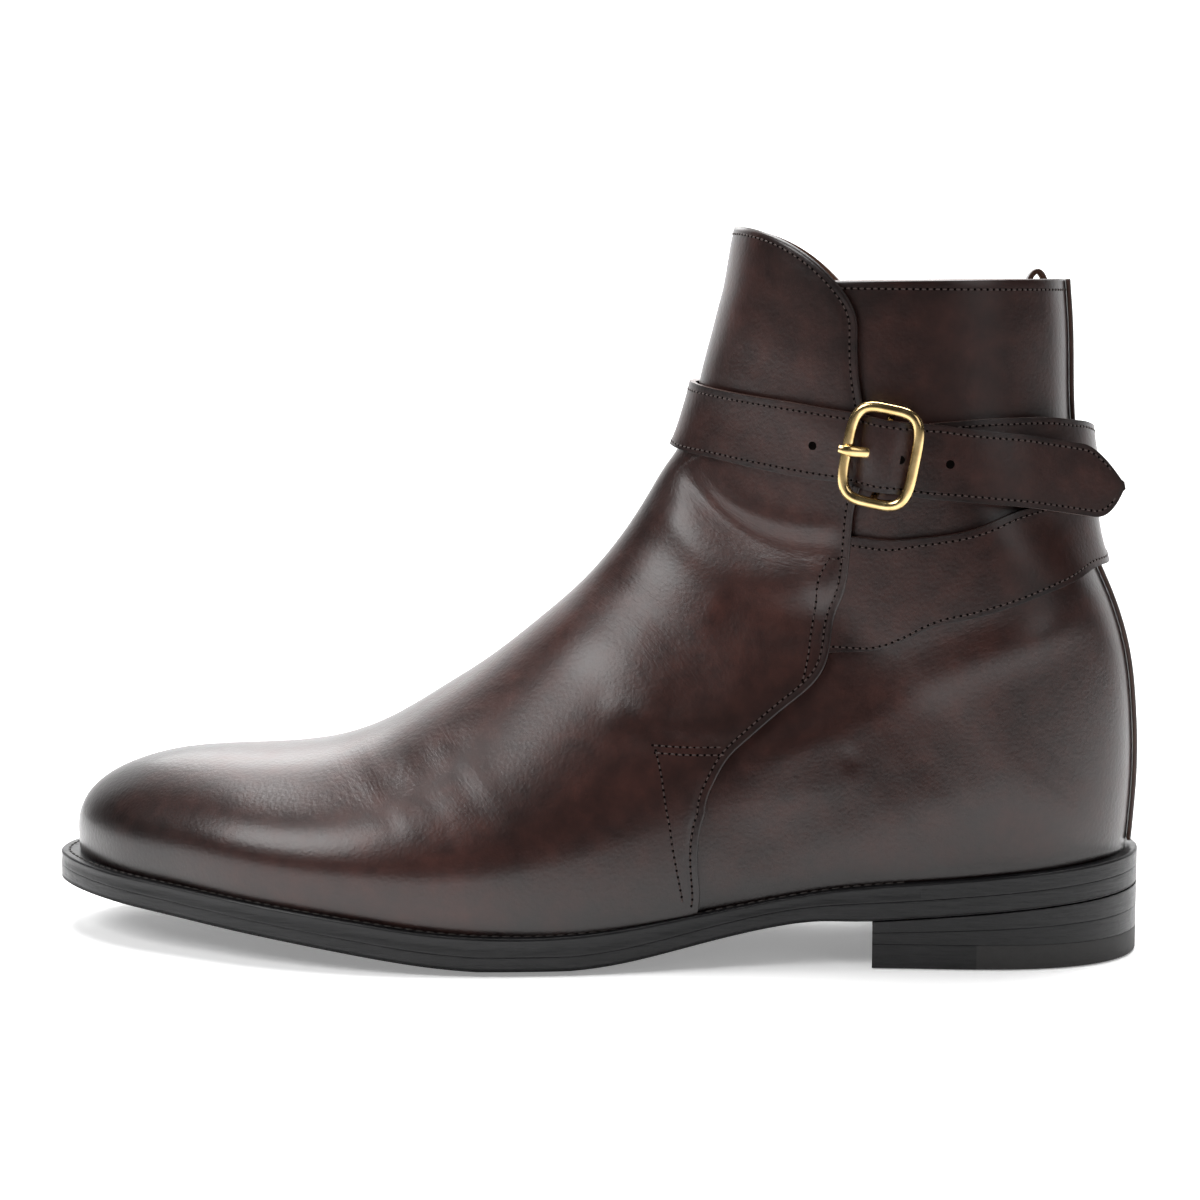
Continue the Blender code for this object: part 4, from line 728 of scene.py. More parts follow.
# a soft dip where the edge row of stitches pulls the leather down
dipped = np.exp(-0.5 * ((edgeGap - vampSizes["stitchInset"]) / (0.8 * mm)) ** 2)
pastRoll = np.clip(1 - edgeGap / vampSizes["roll"], 0, 1)
edgeDrop = 0.7 * vampSizes["roll"] * (1 - np.sqrt(1 - pastRoll ** 2))
vampLift = vampLift - vampSizes["stitchDip"] * dipped - edgeDrop
vampGrid = vampGrid + vampNormal * vampLift[..., None]
vampMarks = wrinkleMarks(vampGrid)
toeShade = ease((-vampGrid[..., 0] - 0.205) / 0.055)
overWelt = vampGrid[..., 2] - weltZ(vampGrid[..., 0])
vampMarks["burnish"] = np.clip(
    0.55 * toeShade + 0.50 * np.exp(-np.maximum(overWelt, 0) / 0.007)
    + 0.45 * np.exp(-edgeGap / vampSizes["burnishReach"])
    + 0.28 * np.exp(-(np.abs(vampTurnAt) / 0.10) ** 2), 0, 1)
# the vamp's inner face takes the darker lining copy: painted shade
vamp = piece("vamp", vampGrid, [vampCalf, flapLiningShade, cutEdge], vampMarks, vampSizes["depth"],
             heart=(-0.05, 0, 0.09), inner=1, rim=2)
keep(vamp, "vamp", "vamp")
print("quarters and vamp ready")

# Straps: way round the shaft (0 front, 1 back seam, 2 front again), rows, lift and thickness
longRows = [
    (0.39, 20.02, 0.397, 15.15, 0.4, 1.4), (0.43, 20.52, 0.39, 16.05, 0.4, 1.5),
    (0.468, 20.93, 0.412, 17.34, 0.4, 1.6), (0.527, 21.44, 0.48, 19.12, 0.4, 1.8),
    (0.595, 21.96, 0.55, 20.14, 0.4, 2), (0.677, 22.5, 0.63, 20.9, 0.4, 2),
    (0.742, 22.83, 0.698, 21.46, 0.4, 2), (0.805, 23.06, 0.768, 21.88, 0.5, 2),
    (0.87, 23.22, 0.86, 22.25, 0.9, 1.9), (0.935, 23.29, 0.935, 22.36, 2.1, 1.8),
    (1, 23.37, 1, 22.43, 2.3, 1.8), (1.07, 23.4, 1.07, 22.5, 2.1, 1.8),
    (1.14, 23.45, 1.13, 22.57, 1.1, 1.9), (1.21, 23.43, 1.2, 22.53, 0.8, 2),
    (1.34, 23.37, 1.33, 22.39, 0.6, 2), (1.46, 23.32, 1.445, 22.24, 0.9, 2.1),
    (1.53, 23.24, 1.515, 22.06, 2.5, 2.2), (1.6, 23.12, 1.585, 21.8, 2.8, 2.2),
    (1.72, 22.75, 1.71, 21, 2.8, 2.2), (1.84, 22.21, 1.835, 19.89, 2.8, 2.2),
    (1.93, 21.84, 1.93, 18.68, 2.8, 2.2), (2, 21.69, 2, 18.07, 2.8, 2.2),
    (2.07, 21.76, 2.07, 18.53, 2.8, 2.2), (2.16, 22.08, 2.155, 19.59, 2.8, 2.2),
    (2.28, 22.61, 2.265, 20.58, 2.8, 2.2), (2.375, 22.96, 2.345, 21.16, 2.8, 2.1),
    (2.430, 23.14, 2.376, 21.39, 2.8, 2), (2.447, 23.19, 2.393, 21.49, 2.8, 2),
    (2.458, 23.22, 2.404, 21.55, 2.95, 2), (2.470, 23.25, 2.415, 21.62, 3.7, 2),
    (2.484, 23.28, 2.430, 21.69, 4.6, 2), (2.498, 23.31, 2.444, 21.76, 5.3, 2),
    (2.512, 23.35, 2.458, 21.83, 5.5, 2), (2.526, 23.38, 2.472, 21.91, 5.3, 2),
    (2.537, 23.41, 2.483, 21.96, 4.6, 2), (2.552, 23.45, 2.498, 22.02, 3.7, 2),
    (2.569, 23.49, 2.515, 22.09, 3.1, 2), (2.599, 23.57, 2.545, 22.21, 2.8, 2),
    (2.640, 23.64, 2.600, 22.42, 2.7, 2), (2.705, 23.75, 2.690, 22.69, 2.9, 2),
    (2.745, 23.8, 2.745, 22.81, 3.4, 2),
]
buckleStrapRows = [
    (0.39, 20.02, 0.397, 15.15, 0.4, 1.4), (0.43, 20.52, 0.39, 16.05, 0.4, 1.5),
    (0.468, 20.93, 0.412, 17.34, 0.4, 1.6), (0.51, 21.35, 0.48, 19.12, 0.5, 1.8),
    (0.56, 21.75, 0.56, 20.25, 1.4, 2), (0.61, 22.11, 0.635, 20.99, 2.6, 2),
    (0.71, 22.78, 0.73, 21.79, 3.1, 2), (0.79, 23.22, 0.8, 22.28, 3.2, 2),
    (0.86, 23.58, 0.87, 22.68, 3.5, 2), (0.93, 23.86, 0.93, 22.94, 4.2, 2),
    (1, 24.06, 1, 23.15, 4.4, 2), (1.05, 24.12, 1.045, 23.21, 4.3, 2),
    (1.09, 24.15, 1.08, 23.24, 3.9, 2), (1.13, 24.15, 1.12, 23.24, 3.2, 2),
    (1.18, 24.14, 1.17, 23.22, 2.2, 2), (1.232, 24.08, 1.243, 23.08, 0.8, 2),
    (1.305, 23.93, 1.330, 22.82, 0.4, 2), (1.372, 23.72, 1.405, 22.55, 0.4, 1.8),
    (1.423, 23.52, 1.462, 22.25, 0.9, 1.5),
]
strapSizes = dict(tuck=0.022, step=0.009, across=17, wall=0.0018, roll=0.00055,
                  stitchInset=0.0017, stitchFrom=0.0042, burnishReach=0.0022)


def strapGrid(table, side, across):  # outer face of a strap, with the skin's normals under it
    names = columns(table, (1,) * 6)
    keys = np.arange(len(table), dtype=float)
    stops = [keys[:1]]
    for k, jump in zip(keys, np.abs(np.diff(names[0]))):
        stops.append(np.linspace(k, k + 1, max(2, int(np.ceil(jump / strapSizes["step"]))) + 1)[1:])
    t = np.concatenate(stops)
    top, topRow, low, lowRow, lift, thick = [cubic(keys, line)(t)[:, None] for line in names]
    share = (across[None, :] + 1) / 2
    wayRound = low + share * (top - low)
    row = lowRow + share * (topRow - lowRow)
    tucked = ease(1 - t / 2)[:, None]  # the root runs under the vamp's edge
    wayRound = wayRound + tucked * (vampTurn(row[0]) - strapSizes["tuck"] - wayRound[0])
    turn = side * (np.mod(wayRound + 1, 2) - 1)
    normal = skinNormal(row, turn)
    crown = 0.12 * mm * (1 - across[None, :] ** 2)
    outer = shell(row, turn, (lift + thick) * mm + crown + 0 * share)
    return outer, normal


def strapMarks(grid):  # darker along both cut edges
    half = 0.5 * np.linalg.norm(grid[:, -1] - grid[:, 0], axis=-1)[:, None]
    fromEdge = (1 - np.abs(strapAcross))[None, :] * half
    return dict(burnish=0.50 * np.exp(-fromEdge / strapSizes["burnishReach"]))


strapAcross = np.sin(np.linspace(-1, 1, strapSizes["across"]) * np.pi / 2)
longGrid, longNormal = strapGrid(longRows, -1, strapAcross)
tailSizes = dict(free=0.0275, point=0.011, steps=26)
middleRun = unit((longGrid[-1] - longGrid[-4]).mean(0))
ahead = np.linspace(0, 1, tailSizes["steps"] + 1)[1:] ** 0.8 * tailSizes["free"]
narrow = np.clip((tailSizes["free"] - ahead) / tailSizes["point"], 0.0, 1.0)
narrow = np.maximum(np.sin(narrow * np.pi / 2) ** 0.85, 0.10)
tailMiddle = longGrid[-1].mean(0)
tailSpread = longGrid[-1] - tailMiddle
tailDrop = np.array([0.0, 0.06, -0.05])
tailGrid = np.stack([tailMiddle + middleRun * d + tailDrop * d + tailSpread * n
                     for d, n in zip(ahead, narrow)])
longGrid = np.concatenate([longGrid, tailGrid])
longNormal = np.concatenate([longNormal, np.repeat(longNormal[-1:], len(tailGrid), axis=0)])

# Buckle's own directions: along points to the heel, up across the strap, out of the boot
buckleTurn, buckleHeight = -0.482, 0.7525
buckleRow = rowAt(buckleTurn, buckleHeight * last["collarHeight"])
buckleSpot = skin(buckleRow, buckleTurn)
buckleOut = skinNormal(buckleRow, buckleTurn)
aheadRow = rowAt(buckleTurn - 0.06, (buckleHeight - 0.009) * last["collarHeight"])
buckleAlong = skin(aheadRow, buckleTurn - 0.06) - buckleSpot
buckleAlong = unit(buckleAlong - buckleOut * np.dot(buckleAlong, buckleOut))
buckleUp = np.cross(buckleOut, buckleAlong)
buckleUp = buckleUp if buckleUp[2] > 0 else -buckleUp


def byBuckle(along, up, out):
    along, up, out = np.broadcast_arrays(along, up, out)
    return (buckleSpot + along[..., None] * buckleAlong + up[..., None] * buckleUp
            + out[..., None] * buckleOut)


longAlong = (longGrid[:, len(strapAcross) // 2] - buckleSpot) @ buckleAlong
longNear = np.linalg.norm(longGrid[:, len(strapAcross) // 2] - buckleSpot, axis=-1) < 0.035

def strapSpot(distance):  # middle of the long strap's last turn at a distance from the bar
    lateral = longNear & (np.arange(len(longGrid)) > len(longGrid) // 2)
    middle = len(strapAcross) // 2
    order = np.argsort(longAlong[lateral])
    line, out = longGrid[lateral, middle][order], longNormal[lateral, middle][order]
    at = longAlong[lateral][order]
    return (np.array([np.interp(distance, at, line[:, k]) for k in range(3)]),
            unit(np.array([np.interp(distance, at, out[:, k]) for k in range(3)])))


strapLong = piece("strapLong", longGrid, [strapCalf, strapCalf, cutEdge],
                  strapMarks(longGrid), strapSizes["wall"], strapSizes["roll"],
                  heart=(-0.045, 0, 0.13), rim=2)
keep(strapLong, "strap", "strap_long")

# The strap is not punched through: near-black discs of painted shade lie just over its surface where the
# holes are
holeShadeSizes = dict(places=(-0.0191, 0.0052, 0.0178), radius=0.00115, over=0.00003)
work = bmesh.new()
for distance in holeShadeSizes["places"]:
    spot, out = strapSpot(distance)
    facing = Vector(out).to_track_quat("Z", "Y").to_matrix().to_4x4()
    bmesh.ops.create_circle(work, cap_ends=True, segments=24, radius=holeShadeSizes["radius"],
                            matrix=Matrix.Translation(spot + out * holeShadeSizes["over"]) @ facing)
mesh = bpy.data.meshes.new("strapHoleShade")
work.to_mesh(mesh)
work.free()
mesh.materials.append(holeShade)
strapHoleShade = bpy.data.objects.new("strapHoleShade", mesh)
bpy.context.scene.collection.objects.link(strapHoleShade)
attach(strapHoleShade, "root")

buckleGrid, buckleNormal = strapGrid(buckleStrapRows, 1, strapAcross)
loopSizes = dict(barOut=0.0026, barThick=0.002, thick=0.001, wide=0.0165, wall=0.0009, roll=0.0002)
wrapRadius = loopSizes["barThick"] / 2 + last["gap"] + loopSizes["thick"] / 2
bend = np.radians(np.linspace(90, 270, 13))
loopAlong = np.r_[4.2, 2.8, 1.35, np.cos(bend), 1.6, 3.4] * wrapRadius
loopOut = loopSizes["barOut"] + np.r_[-0.52, 0.10, 0.90, np.sin(bend), -1.0, -1.0] * wrapRadius
loopRun = unit(np.gradient(np.stack([loopAlong, loopOut], -1), axis=0))
loopGrid = byBuckle((loopAlong - 0.5 * loopSizes["thick"] * -loopRun[:, 1])[:, None],
                    (loopSizes["wide"] / 2 * strapAcross)[None, :],
                    (loopOut - 0.5 * loopSizes["thick"] * loopRun[:, 0])[:, None])
strapBuckle = piece("strapBuckle", buckleGrid, [strapCalf, strapCalf, cutEdge],
                    strapMarks(buckleGrid), strapSizes["wall"], strapSizes["roll"],
                    heart=(-0.045, 0, 0.13), rim=2)
keep(strapBuckle, "strap", "strap_buckle")
print("straps ready")

# Back strip over the seam
stripSizes = dict(wall=0.0012, width=0.0095, roll=0.0004)
stripRows = np.linspace(heelRow + 0.05, collarRow, 90)
stripReach = np.linalg.norm(skin(stripRows, 0.99) - skin(stripRows, 1.0), axis=-1) / 0.01
stripAcross = np.linspace(1, -1, 13)
stripTurn = 1 - stripSizes["width"] / 2 / stripReach[:, None] * stripAcross[None, :]
stripTurn = np.where(stripTurn > 1, stripTurn - 2, stripTurn)
stripGrid = shell(stripRows[:, None], stripTurn, last["gap"] + stripSizes["wall"])
stripEdge = (1 - np.abs(stripAcross))[None, :] * stripSizes["width"] / 2 + 0 * stripTurn
backStrip = piece("backStrip", stripGrid, [quarterCalf, quarterCalf, cutEdge],
                  dict(burnish=0.25 + 0.4 * np.exp(-stripEdge / 0.0015)), stripSizes["wall"],
                  stripSizes["roll"], heart=(-0.05, 0, 0.09), rim=2)
keep(backStrip, "upper", "back_strip")

# Pull loop inside the back of the collar: distance from the wall and height, millimetres
pullLine = [(1.9, -30.0), (1.9, -18.0), (1.9, -7.0), (2.0, -2.0), (2.8, 1.2), (4.8, 3.2), (7.2, 2.8),
            (9.0, 0.2), (9.6, -4.0), (8.8, -10.0), (6.6, -18.0), (4.4, -25.0), (3.9, -30.0)]
pullSizes = dict(width=0.0105, wall=0.0014, roll=0.0003)
pullKnots = np.arange(len(pullLine), dtype=float)
pullT = np.linspace(0, pullKnots[-1], 60)
pullIn = cubic(pullKnots, [p[0] for p in pullLine])(pullT) * -mm
pullRise = cubic(pullKnots, [p[1] for p in pullLine])(pullT) * mm
pullRun = unit(np.gradient(np.stack([pullIn, pullRise], -1), axis=0))
pullIn = pullIn - pullRun[:, 1] * pullSizes["wall"] / 2
pullRise = pullRise + pullRun[:, 0] * pullSizes["wall"] / 2
pullWall = (seamX(np.minimum(last["collarHeight"] + pullRise, last["collarHeight"])) - last["wall"]
            + featherAt(wayEnd)[0] - seamX(seatZ))
pullAcross = np.linspace(-0.5, 0.5, 7) * pullSizes["width"]
pullGrid = np.stack(np.broadcast_arrays((pullWall + pullIn)[:, None], pullAcross[None, :],
                                        (last["collarHeight"] + pullRise)[:, None]), -1)
pullLoop = piece("pullLoop", pullGrid, [strapCalf, strapCalf, cutEdge],
                 dict(burnish=0.3 + 0 * pullGrid[..., 0]), pullSizes["wall"], pullSizes["roll"],
                 heart=tuple(pullGrid.reshape(-1, 3).mean(0)), rim=2)
keep(pullLoop, "strap", "pull_loop")

# Sole: welt, rand, outsole, lifts, top piece and rubber tip
soleSizes = dict(outsole=0.0052, weltIn=0.003, topPiece=0.0068, rand=0.062, tip=0.047,
                 camber=0.0012, camberWidth=0.022, seatOver=0.0025, ways=150, wallPoints=9,
                 underRound=0.0009, weltRound=0.0007, liftRound=0.0001, tipRound=0.0006, seam=0.00012)
cornerTurn = np.radians(np.linspace(0, 90, 4))


def wayAt(distance):
    ways = np.linspace(0, wayEnd, 2000)
    return float(np.interp(-distance, -(last["heelRear"] - outlineX(ways)), ways))


def outsoleTop(x):
    return underZ(x) + soleSizes["outsole"]


def edgeProfile(rounding, groove=0.0):  # inside distance, share of height, height offset
    below, above = rounding
    lower = [(below * (1 - np.sin(a)), 0.0, below * (1 - np.cos(a))) for a in cornerTurn]
    upper = [(above * (1 - np.sin(a)), 1.0, above * (np.cos(a) - 1)) for a in cornerTurn[::-1]]
    wall = [(groove * np.sin(np.pi * s) ** 2, s, 0.0)
            for s in np.linspace(0, 1, soleSizes["wallPoints"])[1:-1]]
    return lower + wall + upper


def edgeBand(name, ways, inner, low, high, rounding, paints, groove=0.0):  # strip along the outline
    profile = edgeProfile(rounding, groove)
    lines = []
    for inside, share, offset in profile:
        spot = outlineAt(ways, inside)
        z = low(spot[:, 0]) * (1 - share) + high(spot[:, 0]) * share + offset
        lines.append(np.concatenate([spot, z[:, None]], -1))
    for level in (high, low):
        spot = featherAt(ways, inner)
        lines.append(np.concatenate([spot, level(spot[:, 0])[:, None]], -1))
    lines.append(lines[0])
    return piece(name, np.stack(lines, 1), paints, capped=True)


def plate(name, ways, low, high, rounding, paints, camber=0.0, inset=None):  # slab over the outline
    halves = []
    for side in (1, -1):
        line = []
        for inside, share, offset in edgeProfile(rounding):
            if inset is None:
                spot = outlineAt(side * ways, inside)
            else:
                spot = featherAt(side * ways, inset + inside)
            z = low(spot[:, 0]) * (1 - share) + high(spot[:, 0]) * share + offset
            if camber:
                front = ease((last["heelRear"] - last["heelLength"] - spot[:, 0])
                             / soleSizes["camberWidth"])
                z = z + camber * front * max(0.0, 1 - share * 4)
            line.append(np.concatenate([spot, z[:, None]], -1))
        halves.append(line)
    lateral, medial = halves
    shares = np.linspace(0, 1, 15)[1:-1]
    top, bottom = [], []
    for s in shares:
        for kind, level, at in ((top, high, -1), (bottom, low, 0)):
            spot = lateral[at] * (1 - s) + medial[at] * s
            wide = np.abs(lateral[at][:, 1] - medial[at][:, 1])
            flat = spot.copy()
            flat[:, 2] = level(spot[:, 0])
            if camber and kind is bottom:
                deep = ease(np.minimum(s, 1 - s) * wide / soleSizes["camberWidth"])[:, None]
                flat = flat * deep + spot * (1 - deep)
            kind.append(flat)
    loop = lateral + top + medial[::-1] + bottom[::-1]
    loop.append(loop[0])
    return piece(name, np.stack(loop, 1), paints, capped=True)


breastWay, randWay, tipWay = (wayAt(last["heelLength"]), wayAt(soleSizes["rand"]),
                              wayAt(soleSizes["tip"]))
gap = last["gap"]
wholeWays = wayEnd * (1 - np.cos(np.linspace(0, np.pi, soleSizes["ways"]))) / 2
weltRounding = (soleSizes["seam"], soleSizes["weltRound"])
outsole = plate("outsole", wholeWays, underZ, outsoleTop, (soleSizes["underRound"], soleSizes["seam"]),
                [soleEdge], soleSizes["camber"])
keep(outsole, "sole", "outsole")
weltWays = np.linspace(-randWay, randWay, 330)
welt = edgeBand("welt", weltWays, soleSizes["weltIn"], outsoleTop, weltZ, weltRounding, [soleEdge],
                groove=0.15 * mm)
keep(welt, "sole", "welt")
randWays = np.linspace(randWay, 2 * wayEnd - randWay, 130)
heelRand = edgeBand("heelRand", randWays, soleSizes["weltIn"], outsoleTop, weltZ, weltRounding,
                    [soleEdge])
keep(heelRand, "sole", "heel_rand")
insoleWays = wayEnd * (1 - np.cos(np.linspace(0, np.pi, 90))) / 2
insole = plate("insole", insoleWays, outsoleTop, lambda x: weltZ(x) + soleSizes["seatOver"],
               (0.3 * mm, 0.6 * mm), [lining], inset=soleSizes["weltIn"] + gap)
keep(insole, "insole", "insole")


def heelLevel(share):  # between the top piece and the outsole
    return lambda x: soleSizes["topPiece"] + share * (underZ(x) - soleSizes["topPiece"])


def floorZ(x):
    return 0 * x


heelWays = breastWay + (wayEnd - breastWay) * np.sin(np.linspace(0, np.pi / 2, 60))
liftRounding = (soleSizes["liftRound"], soleSizes["liftRound"])
liftLow = plate("heelLiftLow", heelWays, heelLevel(0.0), heelLevel(0.5), liftRounding, [soleEdge])
keep(liftLow, "sole", "heel_lift_1")
liftHigh = plate("heelLiftHigh", heelWays, heelLevel(0.5), heelLevel(1.0), liftRounding, [soleEdge])
keep(liftHigh, "sole", "heel_lift_2")
frontWays = np.linspace(breastWay, tipWay, 24)
topPiece = plate("heelTopPiece", frontWays, floorZ, heelLevel(0.0),
                 (0.5 * mm, soleSizes["liftRound"]), [soleEdge])
keep(topPiece, "sole", "heel_top_piece")
tipWays = tipWay + (wayEnd - tipWay) * np.sin(np.linspace(0, np.pi / 2, 50))
heelTip = plate("heelTip", tipWays, floorZ, heelLevel(0.0),
                (soleSizes["tipRound"], soleSizes["liftRound"]), [heelRubber])
keep(heelTip, "heel_tip", "heel_tip")
print("sole and heel ready")

# Buckle: cushion-shaped frame with a dipped centre bar, and the prong over the front bar
buckleSizes = dict(length=0.0212, width=0.0284, bar=0.003, thick=0.0026, out=0.0071, centre=0.002,
                   prongWide=0.003, prongThick=0.0016, power=2 / 3.9)


def bar(name, along, up, out, wide, thick, closed, paints):  # rounded bar along a line
    path = np.stack([along, up, out], -1)
    run = np.roll(path, -1, 0) - np.roll(path, 1, 0) if closed else np.gradient(path, axis=0)
    run = unit(run)
    side = unit(np.cross(run, np.array([0.0, 0.0, 1.0])))
    over = np.cross(side, run)
    angle = np.linspace(0, 2 * np.pi, 17)
    wide, thick = np.broadcast_to(wide, along.shape), np.broadcast_to(thick, along.shape)
    spots = (path[:, None] + side[:, None] * (wide[:, None] / 2 * np.cos(angle))[..., None]
             + over[:, None] * (thick[:, None] / 2 * np.sin(angle))[..., None])
    grid = byBuckle(spots[..., 0], spots[..., 1], spots[..., 2])
    if closed:
        grid = np.concatenate([grid, grid[:1]])
    return piece(name, grid, paints, capped=not closed)


halfAlong = (buckleSizes["length"] - buckleSizes["bar"]) / 2
halfUp = (buckleSizes["width"] - buckleSizes["bar"]) / 2
frameTurn = np.linspace(0, 2 * np.pi, 96, endpoint=False)
frameAlong = halfAlong * np.sign(np.cos(frameTurn)) * np.abs(np.cos(frameTurn)) ** buckleSizes["power"]
frameUp = halfUp * np.sign(np.sin(frameTurn)) * np.abs(np.sin(frameTurn)) ** buckleSizes["power"]
buckleFrame = bar("buckleFrame", frameAlong, frameUp, buckleSizes["out"] + 0 * frameTurn,
                  buckleSizes["bar"], buckleSizes["thick"], True, [paleGold])
keep(buckleFrame, "buckle", "buckle_frame")
barUp = halfUp * np.linspace(-1, 1, 41)
barDip = ease((1 - np.abs(barUp / halfUp)) / 0.2)
centreBar = bar("buckleCentreBar", 0 * barUp, barUp,
                buckleSizes["out"] + barDip * (loopSizes["barOut"] - buckleSizes["out"]),
                buckleSizes["centre"], buckleSizes["centre"], False, [paleGold])
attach(centreBar, "root")
hook = buckleSizes["centre"] / 2 + gap + buckleSizes["prongThick"] / 4
hookTurn = np.radians(np.linspace(-120, 90, 15))
restOut = buckleSizes["out"] + buckleSizes["thick"] / 2 + gap + buckleSizes["prongThick"] / 2
prongAlong = np.r_[hook * np.cos(hookTurn), -hook,
                   np.array([-0.37, -0.58, -0.80, -1.0, -1.19]) * halfAlong]
climb = np.array([0.33, 0.51, 0.72, 0.91, 1.01, 0.99])
prongOut = np.r_[loopSizes["barOut"] + hook * np.sin(hookTurn),
                 loopSizes["barOut"] + climb * (restOut - loopSizes["barOut"])]
prongThick = buckleSizes["prongThick"] * np.r_[0.5 + 0 * hookTurn, 0.7, 0.9, 1.0, 1.0, 1.0, 0.8]
prongKnots = np.arange(len(prongAlong), dtype=float)
prongT = np.linspace(0, prongKnots[-1], 70)
prong = bar("buckleProng", cubic(prongKnots, prongAlong)(prongT), 0 * prongT,
            cubic(prongKnots, prongOut)(prongT),
            buckleSizes["prongWide"] * (1 - 0.25 * ease((prongT / prongKnots[-1] - 0.9) / 0.1)),
            cubic(prongKnots, prongThick)(prongT), False, [paleGold])
keep(prong, "buckle", "buckle_prong")
loopStrap = piece("buckleStrapLoop", loopGrid, [strapCalf, strapCalf, cutEdge],
                  dict(burnish=0.3 + 0 * loopGrid[..., 0]), loopSizes["wall"], loopSizes["roll"],
                  heart=tuple(byBuckle(0.0, 0.0, loopSizes["barOut"])), rim=2)
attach(loopStrap, "root")
print("buckle ready")

# Stitches: short threads laid along rows on the leather, with small near-black ellipsoids of painted
# shade for the needle holes between them
stitchSizes = dict(pitch=0.0018, length=0.00125, wide=0.00048, deep=0.00040, over=0.00004, phase=0.5)
# painted shade: the dark needle holes between the threads are small near-black ellipsoids
needleShadeSizes = dict(pitch=0.0018, length=0.00072, wide=0.00068, deep=0.00026, phase=0.0)


def spaced(point, normal, pitch, phase):  # evenly spaced places along a dense row
    along = np.r_[0.0, np.cumsum(np.linalg.norm(np.diff(point, axis=0), axis=-1))]
    count = max(2, int(along[-1] / pitch))
    at = (np.arange(count) + phase) * along[-1] / count
    spot = np.stack([np.interp(at, along, point[:, k]) for k in range(3)], -1)
    before, ahead = (np.stack([np.interp(at + step, along, point[:, k]) for k in range(3)], -1)
                     for step in (-0.2 * pitch, 0.2 * pitch))
    out = unit(np.stack([np.interp(at, along, normal[:, k]) for k in range(3)], -1))
    run = unit(ahead - before)
    side = unit(np.cross(out, run))
    return spot, run, side, np.cross(run, side)


def stitchRows(name, rows, paint, sizes):  # copies of one small ellipsoid: short threads, or the painted-shade needle holes
    seat = [np.stack(spaced(point, normal, sizes["pitch"], sizes["phase"]), 1) for point, normal in rows]
    seat = np.concatenate(seat)
    work = bmesh.new()
    bmesh.ops.create_uvsphere(work, u_segments=4, v_segments=6, radius=1)
    shape = len(work.verts)
    while len(work.verts) < shape * len(seat):
        bmesh.ops.duplicate(work, geom=work.verts[:] + work.edges[:] + work.faces[:])
    work.verts.index_update()
    group = joined(len(work.verts), np.array([[v.index for v in e.verts] for e in work.edges]))
    spare = [v for v, g in zip(work.verts, group) if g >= len(seat)]
    bmesh.ops.delete(work, geom=spare, context="VERTS")
    mesh = bpy.data.meshes.new(name)
    work.to_mesh(mesh)
    work.free()
    ball = np.empty(len(mesh.vertices) * 3)
    mesh.vertices.foreach_get("co", ball)
    corners = np.empty(len(mesh.edges) * 2, int)
    mesh.edges.foreach_get("vertices", corners)
    group = joined(len(mesh.vertices), corners.reshape(-1, 2))
    ball = ball.reshape(-1, 3)
    spot, run, side, out = (seat[group, k] for k in range(4))
    place = (spot + run * ball[:, 2:] * sizes["length"] / 2 + side * ball[:, :1] * sizes["wide"] / 2
             + out * ball[:, 1:2] * sizes["deep"] / 2)
    mesh.vertices.foreach_set("co", place.ravel())
    mesh.update()
    mesh.polygons.foreach_set("use_smooth", [True] * len(mesh.polygons))
    mesh.materials.append(paint)
    made = bpy.data.objects.new(name, mesh)
    bpy.context.scene.collection.objects.link(made)
    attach(made, "root")
    return made


def joined(count, corners):  # number of the copy that each vertex belongs to
    label = np.arange(count)
    while True:
        low = np.minimum(label[corners[:, 0]], label[corners[:, 1]])
        before = label.copy()
        np.minimum.at(label, corners[:, 0], low)
        np.minimum.at(label, corners[:, 1], low)
        if (label == before).all():
            return np.unique(label, return_inverse=True)[1]


def seamRow(rows, turns):  # a row of stitches by its places on the vamp
    return onLeather(shell(rows, turns, vampTop), vampGrid, vampNormal, stitchSizes["over"])


flapRow = insetRow(flapEdge, flapNormal, vampSizes["stitchInset"])
vampStitches = [onLeather(flapRow, vampGrid, vampNormal, stitchSizes["over"])]
for side in (-1, 1):
    rows = np.linspace(14.79, 19.2, 60)
    turns = side * cubic([14.79, 15.75, 17.14, 18.51, 19.2], [0.395, 0.353, 0.335, 0.343, 0.355])(rows)
    vampStitches.append(seamRow(rows, turns))
    turns = side * np.linspace(0.355, 0.384, 12)
    vampStitches.append(seamRow(np.linspace(19.2, 19.68, 12), turns))
    for apart in (0.0, 0.013):  # wedge at the seam's foot: a double row, then one row down
        rows = np.linspace(11.71, 12.78, 40)
        turns = side * (cubic([11.71, 12.3, 12.91], [0.413, 0.443, 0.463])(rows) + apart)
        vampStitches.append(seamRow(rows, turns))
    down = np.linspace(0, 1, 60)
    places = [0, 0.05, 0.25, 0.55, 0.85, 1]
    rows = cubic(places, [11.73, 11.71, 11.59, 11.46, 11.37, 11.32])(down)
    turns = side * cubic(places, [0.423, 0.443, 0.509, 0.645, 0.824, 0.93])(down)
    vampStitches.append(seamRow(rows, turns))
stitchRows("vampStitching", vampStitches, brownThread, stitchSizes)
# near-black ellipsoids of painted shade for the needle holes
stitchRows("vampNeedleHoleShade", vampStitches, holeShade, needleShadeSizes)

collarStitch = []
for side in (-1, 1):
    turns = side * np.linspace(0.36, 0.985, 120)
    rows = np.full(turns.shape, collarRow - 0.16)
    collarStitch.append((shell(rows, turns, 0.05 * mm), skinNormal(rows, turns)))
stitchRows("collarStitching", collarStitch, brownThread, stitchSizes)
# near-black ellipsoids of painted shade for the needle holes
stitchRows("collarNeedleHoleShade", collarStitch, holeShade, needleShadeSizes)

